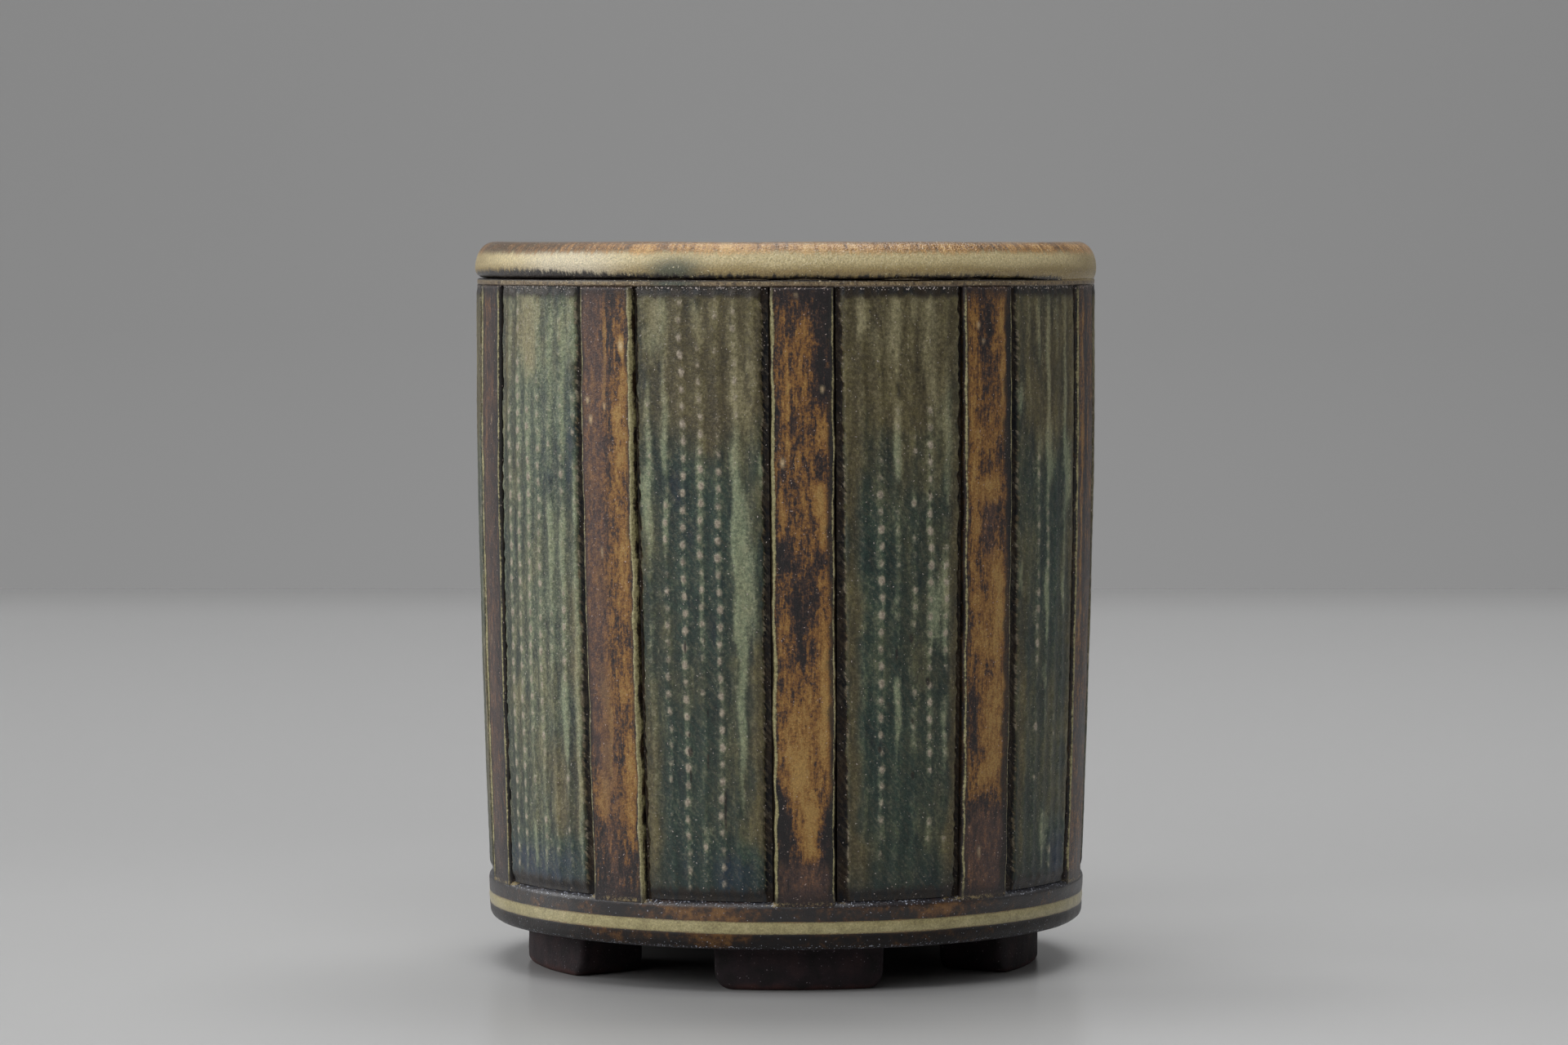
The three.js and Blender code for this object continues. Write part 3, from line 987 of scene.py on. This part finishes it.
# Where the glaze of the seen staves runs to gold, or stays dark where the strength is negative.
STAVE_GOLD = {
    1: [
        (5.8, 101, 120, 2, 0.17), (6, 10, 130, 9, -0.05), (3, 95, 113, 0.3, 0.3),
        (9.3, 97, 103.5, 1, 0.28), (8.9, 80, 90, 1.2, 0.28), (1.9, 80, 90, 0.5, 0.22),
        (2.3, 96, 107, 0.7, 0.12), (5.5, 77, 96, 2.5, 0.07), (9.5, 38, 70, 1.3, 0.28),
        (2.5, 58, 68, 1.3, 0.14), (4.7, 35, 57, 4.4, 0.22), (5.6, 27, 44, 3.2, 0.22),
        (7, 22, 34, 1.6, 0.24), (9.3, 104, 123, 1.6, -0.18), (6, 118, 125, 8, -0.08),
        (6.5, 14, 23, 9, -0.3), (1.4, 22, 37, 1.6, -0.28), (10.3, 17, 34, 1.6, -0.25),
        (4.5, 60, 76, 1.4, -0.1), (2, 75, 80, 2, -0.15),
    ],
    2: [
        (2.2, 70, 113, 1.2, 0.2), (8.9, 107, 122, 0.8, 0.26), (9.2, 95, 108, 0.8, 0.18),
        (5.6, 95, 103, 1.8, 0.12), (5.8, 86.5, 91, 2.4, 0.26), (2.6, 115, 123, 1.6, 0.12),
        (8.2, 56, 78, 2.2, 0.26), (3.6, 58, 72, 2.2, 0.14), (7.2, 37, 54, 3.4, 0.24),
        (3.2, 34, 40, 1.8, 0.14), (4.8, 104, 124, 1.8, -0.1), (6.5, 78, 86, 2.4, -0.14),
        (2.2, 43, 53, 1.3, -0.2), (6, 14, 32, 8, -0.26), (10.8, 78, 124, 1.2, -0.3),
    ],
    3: [
        (3, 60, 122, 0.7, 0.22), (6, 70, 110, 1.8, 0.04), (5, 10, 130, 8, -0.07),
        (5, 40, 124, 0.5, -0.2),
    ],
    9: [
        (5, 10, 130, 9, -0.1), (4.5, 117, 123, 2.2, 0.16), (2.5, 20, 110, 1, 0.05),
        (8.2, 92, 118, 2.2, -0.3), (5.8, 83, 90, 2, -0.1), (5.5, 45, 53, 2, -0.1),
        (5, 16, 124, 6, -0.12), (6, 14, 24, 8, -0.12),
    ],
    10: [
        (5.6, 104, 121.5, 0.3, 0.5), (9.1, 112.5, 116, 0.5, 0.7), (8.6, 92, 104.5, 1.4, 0.28),
        (9.2, 103, 112, 1, 0.15), (9, 69, 84, 1.4, 0.22), (8, 84, 92, 1.8, 0.1),
        (3.5, 51, 59, 1.2, 0.24), (4, 43, 54, 1, 0.2), (5.3, 37, 50, 0.4, 0.28), (4.3, 39, 44, 1, 0.28),
        (8.4, 52, 62, 1.2, 0.15), (9.3, 29, 45, 1.4, 0.2), (3.4, 31, 39, 1.3, 0.2),
        (2.9, 98, 113, 0.9, 0.14), (2.4, 84, 95, 0.7, 0.14), (3.6, 66, 77, 1.2, 0.14),
        (3.2, 111, 126, 3.6, -0.14), (5.2, 88, 98, 1.8, -0.1), (5.5, 14, 24, 8, -0.14),
        (1.2, 40, 66, 1.2, -0.12), (6.4, 100, 120, 0.8, -0.1),
    ],
}

# Where the glaze of the seen staves is more purple than gold.
STAVE_PLUM = {
    9: [(4, 10, 130, 6, 0.6)],
    10: [(2.5, 45, 130, 3.4, 1.1), (5, 10, 50, 3, 0.5)],
    1: [(6, 12, 24, 8, 0.7)],
    2: [(6, 14, 32, 8, 0.8), (5.5, 76, 88, 2.5, 0.5)],
}

# Small pale specks on the seen staves, and small dark cracks on the seen panels.
STAVE_SPECKS = {
    1: [(2.1, 93.4, 94.6, 0.35, 0.9), (9, 106.5, 107.3, 0.3, 0.9), (4.7, 123, 123.6, 0.25, 0.7)],
    2: [(3.2, 117.5, 118.3, 0.3, 0.9), (4.2, 114.8, 115.4, 0.25, 0.8), (4, 23.4, 25, 0.3, 0.6)],
    9: [(6.2, 100, 101, 0.3, 0.5), (4, 60, 61, 0.3, 0.4)],
    10: [
        (1.9, 104.3, 105.1, 0.35, 1), (2.5, 100.7, 101.9, 0.35, 0.8), (9.1, 113.6, 115, 0.45, 1),
        (5.5, 103.2, 104.2, 0.3, 0.6), (4.3, 77, 78.5, 0.25, 0.5),
    ],
}
PANEL_CRACKS = {
    1: [
        (10.9, 59, 61.4, 0.3, 1), (13.9, 62, 63.8, 0.5, 0.9), (14.2, 47.6, 49, 0.4, 0.8),
        (14.2, 38, 39.4, 0.4, 1), (17.2, 54.4, 56, 0.5, 1), (17.3, 94.4, 95.6, 0.3, 0.9),
        (7.7, 42.8, 44, 0.4, 1), (17.2, 88, 89.4, 0.3, 0.8), (11.2, 104.8, 108.6, 0.8, 0.6),
        (6.2, 120.2, 120.9, 0.4, 1),
    ],
    2: [(9.7, 52, 54, 0.3, 0.7), (14.2, 58, 60, 0.3, 0.7)],
    9: [(12.5, 48, 51, 0.3, 0.7), (15.5, 30, 33, 0.3, 0.7), (9, 79, 82, 0.3, 0.6)],
    10: [
        (9, 60.3, 62.6, 0.3, 1), (9.5, 45.6, 46.4, 0.35, 1), (9.6, 42.2, 43.8, 0.45, 1.1),
        (9.4, 37.4, 40, 0.3, 0.9), (13, 48.6, 51, 0.25, 0.8), (12.8, 39.7, 43, 0.3, 0.8),
        (15.9, 29, 37, 0.35, 0.8), (12.6, 62, 64, 0.3, 0.6),
    ],
}

# How many rows the seen panels have, where the outer ones are, and how wide the grooves are down their left
# and right side, at the bottom and at the top. The wide grooves of panels 3 and 8 on the side towards the
# front are painted shade, where these panels turn away at the vase's outline.
PANEL_LAYOUT = {
    1: (7, 1.7, 3.6, 2.1, 1, 1.3, 0.6),
    2: (7, 1.3, 2, 2.1, 1.2, 0.6, 0.6),
    3: (7, 4, 2.2, 3.6, 3.2, 1, 1),
    8: (7, 2.2, 4, 1, 1, 3, 3),
    9: (8, 0.8, 1.8, 0.5, 1.1, 1.5, 0.9),
    10: (7, 2.6, 2.6, 0.7, 0.6, 1.3, 1.2),
}
# The panels that make the vase's outline, seen from the front, have lower ribs and dots.
OUTLINE_PANELS = (3, 8)
PANEL_LABELS = ("Rows", "First Row", "Last Row")
PANEL_LABELS += ("Left Margin Bottom", "Left Margin Top", "Right Margin Bottom", "Right Margin Top")

# Where the rows of the seen panels show: the row, its lower and upper end, and the strength of its dots
# and of the pale run of glaze between them.
DOTS_HALF_WIDTH = 1.3
RUN_HALF_WIDTH = 0.75
PANEL_ROWS = {
    1: [
        (1, 50, 68, 0.1, 0.3), (2, 43, 93, 1, 0.1), (2, 24, 42, 0.6, 0.1), (3, 108, 123, 0, 0.7),
        (3, 98, 104.5, 0.4, 1.1), (3, 91.5, 98, 0.4, 1.1), (3, 62, 90, 0.35, 0.3), (3, 44, 56, 0.5, 0.9),
        (4, 118, 123, 0.2, 0.6), (4, 95.5, 98.5, 0.8, 0), (4, 86, 89, 1, 0.2), (4, 76, 84, 0.4, 0.2),
        (4, 64, 74, 0.7, 0.1), (4, 52, 55, 0.8, 0), (4, 43, 51, 0.5, 0.4), (5, 119, 124, 0.4, 0.4),
        (5, 88, 105, 0.8, 0.3), (5, 56, 87, 1.1, 0.25), (5, 39, 54, 1.1, 0.25), (5, 26, 32, 0.8, 0.2),
        (6, 86, 110, 0, 0.4), (6, 58, 79, 0.9, 0.5), (6, 40, 53, 0.4, 0.5), (6, 25, 28, 0.6, 0.3),
    ],
    2: [
        (1, 115, 122.5, 0.1, 0.4), (2, 111, 122.5, 0.3, 0.7), (2, 87, 98, 0.5, 0.4),
        (2, 78, 86, 0.6, 0.2), (2, 56, 75, 0.9, 0.1), (2, 44, 48, 1, 0), (2, 35, 38, 0.7, 0),
        (3, 91, 123, 0.1, 1.1), (3, 72, 90, 0.7, 0.4), (3, 61, 73, 0.1, 1.2), (3, 46, 58, 0.3, 0.4),
        (3, 20, 31, 0.5, 0.5), (4, 115, 122, 0.1, 0.5), (4, 20, 24, 1, 0.3), (4, 34, 50, 0.4, 0),
        (5, 108, 123, 0.2, 0.7), (5, 94, 108, 0.1, 1), (5, 74, 86, 0.1, 0.6), (5, 65, 73, 0.4, 0.6),
    ],
    9: [
        (0, 50, 105, 0.2, 0.4), (1, 110, 123, 0.1, 0.4), (1, 18, 104, 1, 0.1), (2, 18, 122, 1, 0.15),
        (3, 111, 123.5, 0.2, 0.8), (3, 43, 109, 0.95, 0.25), (3, 32, 38, 0.5, 0), (3, 21, 29, 0.3, 0.7),
        (4, 110, 122, 0.4, 0.3), (4, 36, 106, 0.95, 0.1), (4, 21, 30, 1, 0.3), (5, 106, 123, 0.2, 0.5),
        (5, 93, 106, 0.6, 0.2), (5, 72, 86, 0.2, 1), (5, 56, 71, 0.6, 0.2), (5, 22, 28, 0.7, 0),
        (6, 96, 122, 0.5, 0.6), (6, 84, 96, 0.7, 0.1), (6, 71, 84, 0.3, 1), (6, 54, 71, 0.9, 0.2),
        (6, 41, 54, 0.2, 1.2), (6, 35, 38.5, 0.9, 0), (6, 26, 29, 0.7, 0), (7, 112, 123, 0.2, 0.8),
        (7, 98, 106, 0.7, 0), (7, 82, 94, 0.4, 0.7), (7, 25, 80, 0.1, 0.55),
    ],
    10: [
        (0, 92, 107, 0.5, 0.7), (0, 76, 92, 0.3, 0.7), (0, 40, 68, 0.35, 0.2), (1, 107, 122, 0, 0.5),
        (1, 92, 107, 0.3, 0.9), (1, 79, 89, 0.5, 0.6), (1, 27, 80, 0.6, 0.05), (2, 18, 122, 1, 0.12),
        (3, 98, 116, 0.5, 0.15), (3, 60, 100, 0.85, 0.35), (3, 52.5, 56, 0.9, 0), (3, 24, 30, 0.7, 0.5),
        (4, 118, 123, 0.5, 0.4), (4, 112, 115, 0.6, 0), (4, 18, 100, 0.95, 0.1), (5, 99, 123, 0.6, 0.5),
        (6, 99, 121, 0.1, 0.2),
    ],
}

# Pale runs of glaze that cross the rows.
PANEL_STREAKS = {
    1: [
        (12, 104, 124, 12, 0.16), (4.3, 116, 123, 1, 0.8), (10, 112, 123, 1.5, 0.5),
        (6.5, 111, 120, 1.2, 0.3), (17.5, 106, 122, 1.6, 0.5), (18.9, 94, 110, 1, 0.5),
        (21.4, 87, 108, 0.9, 0.5), (18.9, 62, 73, 1.2, 0.9),
    ],
    2: [
        (11.2, 90, 100, 1.9, 0.8), (18, 85, 97, 1.7, 1), (12, 24, 30, 2, 0.5), (2.2, 102, 107, 0.8, 0.9),
        (2.6, 70, 76, 0.9, 0.7),
    ],
    9: [
        (12, 18, 123, 12, 0.3), (10.5, 110, 124, 2.2, 1.2), (22.6, 113, 123, 2, 0.5),
        (14, 98, 123, 10, 0.2), (17, 28, 80, 9, 0.12), (23.9, 26, 72, 0.8, 0.5),
    ],
    10: [
        (3.9, 113, 123.5, 2.6, 0.8), (12.3, 115.5, 122.5, 1.6, 0.7), (20.3, 99, 113, 1.6, 0.5),
        (18.7, 78, 98, 0.9, 1.1), (19.5, 63, 87, 1.5, 1.1), (21.2, 63, 80, 1.9, 0.5),
        (19.3, 43, 70, 0.85, 1.1), (19.1, 33, 48, 0.6, 0.7), (23.3, 91, 96, 0.6, 1),
        (23.4, 86, 91.5, 0.5, 0.8), (1.6, 81, 92, 1.1, 0.8),
    ],
}

# Where a panel turns from blue-green to olive, or to a deeper blue where the strength is negative.
PANEL_WARM = {
    1: [
        (12, 103, 126, 14, 0.9), (12, 88, 104, 10, 0.25), (2.8, 17, 110, 1.6, 0.5),
        (23, 17, 100, 1.6, 0.5), (3.5, 17, 27, 2.5, 0.6), (22.5, 17, 28, 1.6, 1), (7, 40, 90, 4, -0.3),
        (12, 17, 50, 7, -0.2),
    ],
    2: [
        (10, 96, 126, 12, 0.5), (21, 20, 120, 2.2, 0.5), (3.2, 20, 75, 1.2, 0.4), (12, 60, 92, 4, -0.3),
        (18, 14, 27, 6, -0.9),
    ],
    9: [
        (10.5, 108, 124, 4, 0.5), (3, 106, 122, 3, 0.2), (18.5, 27, 42, 4, 0.4),
        (23.5, 25, 70, 1.5, 0.5), (15, 86, 108, 6, -0.5), (12, 12, 25, 14, -1.1), (22, 88, 104, 2, -0.5),
    ],
    10: [
        (12, 98, 126, 14, 0.6), (22.5, 104, 126, 2.2, 0.5), (22.5, 17, 60, 1.8, 0.5),
        (1.8, 17, 50, 2, 0.5), (14, 96, 112, 3.5, 0.4), (9, 60, 96, 3, -0.4), (15, 60, 92, 3, -0.4),
        (8, 20, 50, 6, -0.3), (17, 12, 26, 8, -0.7),
    ],
}

# Marks on the rings, at angles in degrees from the front.
RIM_MARKS = {
    "amber": [(-65, 125, 138, 26, -0.2), (0, 125, 138, 16, 0.06), (60, 125, 138, 20, -0.02)],
    # The pale mark on the left is a painted highlight.
    "pale": [(-43, 122, 136, 13, 1.1)],
    "tan": [(-80, 120, 138, 14, 0.8), (78, 120, 138, 14, 1), (-150, 120, 138, 30, 0.6)],
    "teal": [(-20, 121, 130, 5.5, 1)],
    "dark": [(-58, 115, 140, 26, 1), (75, 115, 140, 14, -2.5)],
}
BAND_MARKS = {
    "rust": [
        (-33, 8, 12.5, 6, 0.16), (-13, 8, 12.5, 6, 0.2), (24, 8, 12.5, 5, 0.1), (-14, 13, 16.8, 14, 0.2),
        (30, 13, 16.2, 8, 0.2), (-45, 13, 15, 6, 0.1), (-10, 7, 11, 25, 0.08), (38, 7, 11, 8, 0.12),
    ],
    "cream": [(middle, 15, 18, 6.5, 1.05) for middle in range(-141, 184, 36)],
}


def chance_gold(chance):
    """Gold and dark marks for a stave on the side that isn't seen."""
    marks = [(6.0, 16, 22, 8.0, -0.15), (6.0, 118, 125, 8.0, -0.1)]
    for _ in range(12):
        low = chance.uniform(22, 108)
        length = chance.uniform(5, 18)
        width = chance.uniform(0.7, 2.6)
        marks.append((chance.uniform(1.5, 10), low, low + length, width, chance.uniform(-0.1, 0.22)))
    return marks


def chance_rows(chance):
    """Where the rows show on a panel that isn't seen."""
    rows = []
    for row in range(ROWS):
        rows.append((row, chance.uniform(100, 112), 122, 0.1, chance.uniform(0.2, 0.8)))
        low = chance.uniform(25, 60)
        high = chance.uniform(75, 105)
        rows.append((row, low, high, chance.uniform(0.1, 1.0), chance.uniform(0.0, 0.5)))
    return rows


def chance_cracks(chance):
    places = [(chance.uniform(4, 20), chance.uniform(25, 115)) for _ in range(6)]
    return [(aside, low, low + chance.uniform(0.8, 3), 0.35, 1.0) for aside, low in places]


def chance_warm(chance):
    marks = [(12.0, 98, 123, 14.0, chance.uniform(0.4, 0.9))]
    for _ in range(5):
        low = chance.uniform(16, 80)
        high = low + chance.uniform(15, 50)
        marks.append((chance.uniform(0, 24), low, high, chance.uniform(2, 6), chance.uniform(-0.6, 0.6)))
    return marks


def shifted(node):
    place = place_of(node)
    side, shift = EDGE_SHIFTS.get(node, ("Left", 0.0))
    for end in ("Bottom", "Top"):
        place[f"{side} {end}"] += shift
    return place


def make_stave(number, tree):
    node = f"stave_{number}"
    chance = random.Random(number)
    sizes = shifted(node) | {"Seed": number} | dict(zip(STAVE_LABELS, STAVE_EDGES.get(number, ())))
    stave = grown(f"{node}_glazed", tree, sizes, "stave_glaze", node)
    painted(stave, "gold", STAVE_GOLD.get(number) or chance_gold(chance))
    painted(stave, "plum", STAVE_PLUM.get(number, []))
    painted(stave, "speck", STAVE_SPECKS.get(number, []))


def make_panel(number, tree):
    node = f"panel_{number}"
    chance = random.Random(number)
    sizes = PANEL_SIZES | shifted(node) | {"Seed": number}
    sizes |= zip(PANEL_LABELS, PANEL_LAYOUT.get(number, ()))
    if number in OUTLINE_PANELS:
        sizes |= {"Rib Height": 0.1, "Dot Height": 0.04}
    panel = grown(f"{node}_glazed", tree, sizes, "panel_glaze", node)
    ends = sum(sizes[f"Right {end}"] - sizes[f"Left {end}"] for end in ("Top", "Bottom"))
    width = ends / 2 * DEGREE * BODY_RADIUS
    pitch = (width - sizes["First Row"] - sizes["Last Row"]) / (sizes["Rows"] - 1)
    dots = []
    streaks = list(PANEL_STREAKS.get(number, []))
    for row, low, high, dot, run in PANEL_ROWS.get(number) or chance_rows(chance):
        middle = sizes["First Row"] + row * pitch
        dots.append((middle, low, high, DOTS_HALF_WIDTH, dot))
        streaks.append((middle, low, high, RUN_HALF_WIDTH, run))
    painted(panel, "dots", dots)
    painted(panel, "streak", streaks)
    painted(panel, "warm", PANEL_WARM.get(number) or chance_warm(chance))
    painted(panel, "crack", PANEL_CRACKS.get(number) or chance_cracks(chance))


def make_vase():
    stave_tree = make_stave_tree(make_stave_glaze())
    panel_tree = make_panel_tree(make_panel_glaze())
    for number in STAVES:
        make_stave(number, stave_tree)
        make_panel(number, panel_tree)
    rim = make_rim_glaze()
    inside = make_inside_glaze()
    clay = make_foot_clay()
    roll = piece_of("rim_roll_glazed", make_roll(rim), "rim_glaze", "rim_roll")
    shoulder = piece_of("shoulder_ring_glazed", make_shoulder(rim), "rim_glaze", "shoulder_ring")
    band = piece_of("base_band_glazed", make_band(make_base_glaze()), "base_glaze", "base_band")
    for ring, layers in ((roll, RIM_MARKS), (shoulder, RIM_MARKS), (band, BAND_MARKS)):
        for layer, marks in layers.items():
            painted(ring, layer, marks)
    piece_of("slip_line_laid", make_slip_line(make_slip_material()), "slip_line", "slip_line")
    piece_of("wall_glazed", make_wall(inside), "inside_glaze", "wall")
    piece_of("floor_slab_glazed", make_floor(inside), "inside_glaze", "floor_slab")
    for number in FEET:
        foot = f"foot_{number}"
        piece_of(f"{foot}_clay", make_foot(number, clay), "foot_clay", foot)


# Camera, lights and the room that the vase stands in.


def make_camera():
    data = bpy.data.cameras.new("camera")
    data.lens = CAMERA_LENS
    data.sensor_width = 36.0
    data.clip_start = 0.05
    camera = bpy.data.objects.new("camera", data)
    camera.location = (CAMERA_SIDE, -CAMERA_DISTANCE, RIM_TOP * MM)
    camera.rotation_euler = (math.radians(90 - CAMERA_TILT), 0, 0)
    linked(camera)
    bpy.context.scene.camera = camera


# Each studio light: its name, where it hangs, where it points, its size and its power in watts.
LIGHTS = [
    ("over_back", (0, 0.55, 1.5), (0, 0.1, 0), (1.2, 0.6), 14),
    ("over_front", (0, -0.9, 1.5), (0, 0, 0), (1.2, 0.6), 8.5),
    ("left_side", (-2.69, 0.56, 1.16), (0, 0, 0.08), (1.68, 1.82), 32.3),
    ("left_front", (-1.0, -0.9, 0.7), (0, 0, 0.08), (0.8, 0.8), 6),
    ("right_side", (1.6, 0.2, 0.8), (0, 0, 0.08), (0.8, 0.8), 2.4),
    ("front", (0, -1.7, 0.9), (0, 0, 0.08), (1.2, 0.8), 2.4),
]


def make_lights():
    world = bpy.data.worlds.new("studio")
    world.use_nodes = True
    world.node_tree.nodes["Background"].inputs["Strength"].default_value = 0.0
    bpy.context.scene.world = world
    for name, place, target, size, power in LIGHTS:
        data = bpy.data.lights.new(name, "AREA")
        data.shape = "RECTANGLE"
        data.size, data.size_y = size
        data.energy = power
        light = linked(bpy.data.objects.new(name, data))
        light.location = place
        light.rotation_euler = (Vector(target) - Vector(place)).to_track_quat("-Z", "Y").to_euler()


def make_table_paper():
    """Pale paper with a soft gloss and painted light and shade: lighter towards the front, a little darker
    to the left and lighter to the right, a painted shadow round the vase and painted shade far out to the
    sides. It is also darker at its far end.
    """
    paper = Glaze("table_paper")
    side = paper.along("X")
    back = paper.along("Y")
    # Painted light: the paper is lighter towards the front and darker further back.
    paper.colour = paper.ramp(paper.rise(back, -60, 250), (0.0, "c8c8c8"), (1.0, "bcbcbc"))
    paper.cover(paper.rise(back, 900, 1130), "a2a2a2")
    # Painted shade to the left and painted light to the right: the paper is a little darker to the left and
    # lighter to the right.
    paper.scale(blended(0.955, 1.035, paper.rise(side, -250, 250)))
    # Painted shadow: a ring of darker paper round the vase's foot.
    paper.scale(blended(0.78, 1.0, paper.rise(side * side + back * back, 47**2, 61**2)))
    # Painted shade: the paper darkens far out to the sides, where the side lamps light it.
    paper.scale(blended(1.0, 0.45, paper.rise(side * side, 350**2, 1500**2)))
    return paper.finish(roughness=0.26, index=1.38)


def make_back_wall_paper():
    paper = Glaze("back_wall_paper")
    # Painted light: the wall is lighter low down, near the table, and darker higher up.
    level = paper.rise(paper.along("Z"), -100, 300)
    paper.colour = paper.ramp(level, (0.0, "e1e1e1"), (0.46, "cccccc"), (1.0, "bebebe"))
    # Painted shade: the wall is a little darker towards the left.
    paper.scale(blended(0.9, 1.01, paper.rise(paper.along("X"), -450, 150)))
    return paper.finish(roughness=0.7)


def make_sheet(name, corners, material):
    mesh = bpy.data.meshes.new(name)
    mesh.from_pydata(corners, [], [(0, 1, 2, 3)])
    mesh.materials.append(material)
    linked(bpy.data.objects.new(name, mesh))


def make_room():
    """A pale table that ends short of a pale back wall, in a room with dim walls and no ceiling."""
    left, right, front, table_end, back = -4.0, 4.0, -3.0, 1.08, 1.7
    low, high = -0.6, 2.6
    table = [(left, front, 0), (right, front, 0), (right, table_end, 0), (left, table_end, 0)]
    make_sheet("table", table, make_table_paper())
    dim = Glaze("dim_wall_paint", "484848").finish(roughness=0.7)
    for name, (x0, y0), (x1, y1), material in (
        ("back_wall", (right, back), (left, back), make_back_wall_paper()),
        ("left_wall", (left, back), (left, front), dim),
        ("front_wall", (left, front), (right, front), dim),
        ("right_wall", (right, front), (right, back), dim),
    ):
        make_sheet(name, [(x0, y0, low), (x1, y1, low), (x1, y1, high), (x0, y0, high)], material)


make_camera()
make_lights()
make_room()
make_vase()
bpy.context.scene.view_settings.view_transform = "Standard"
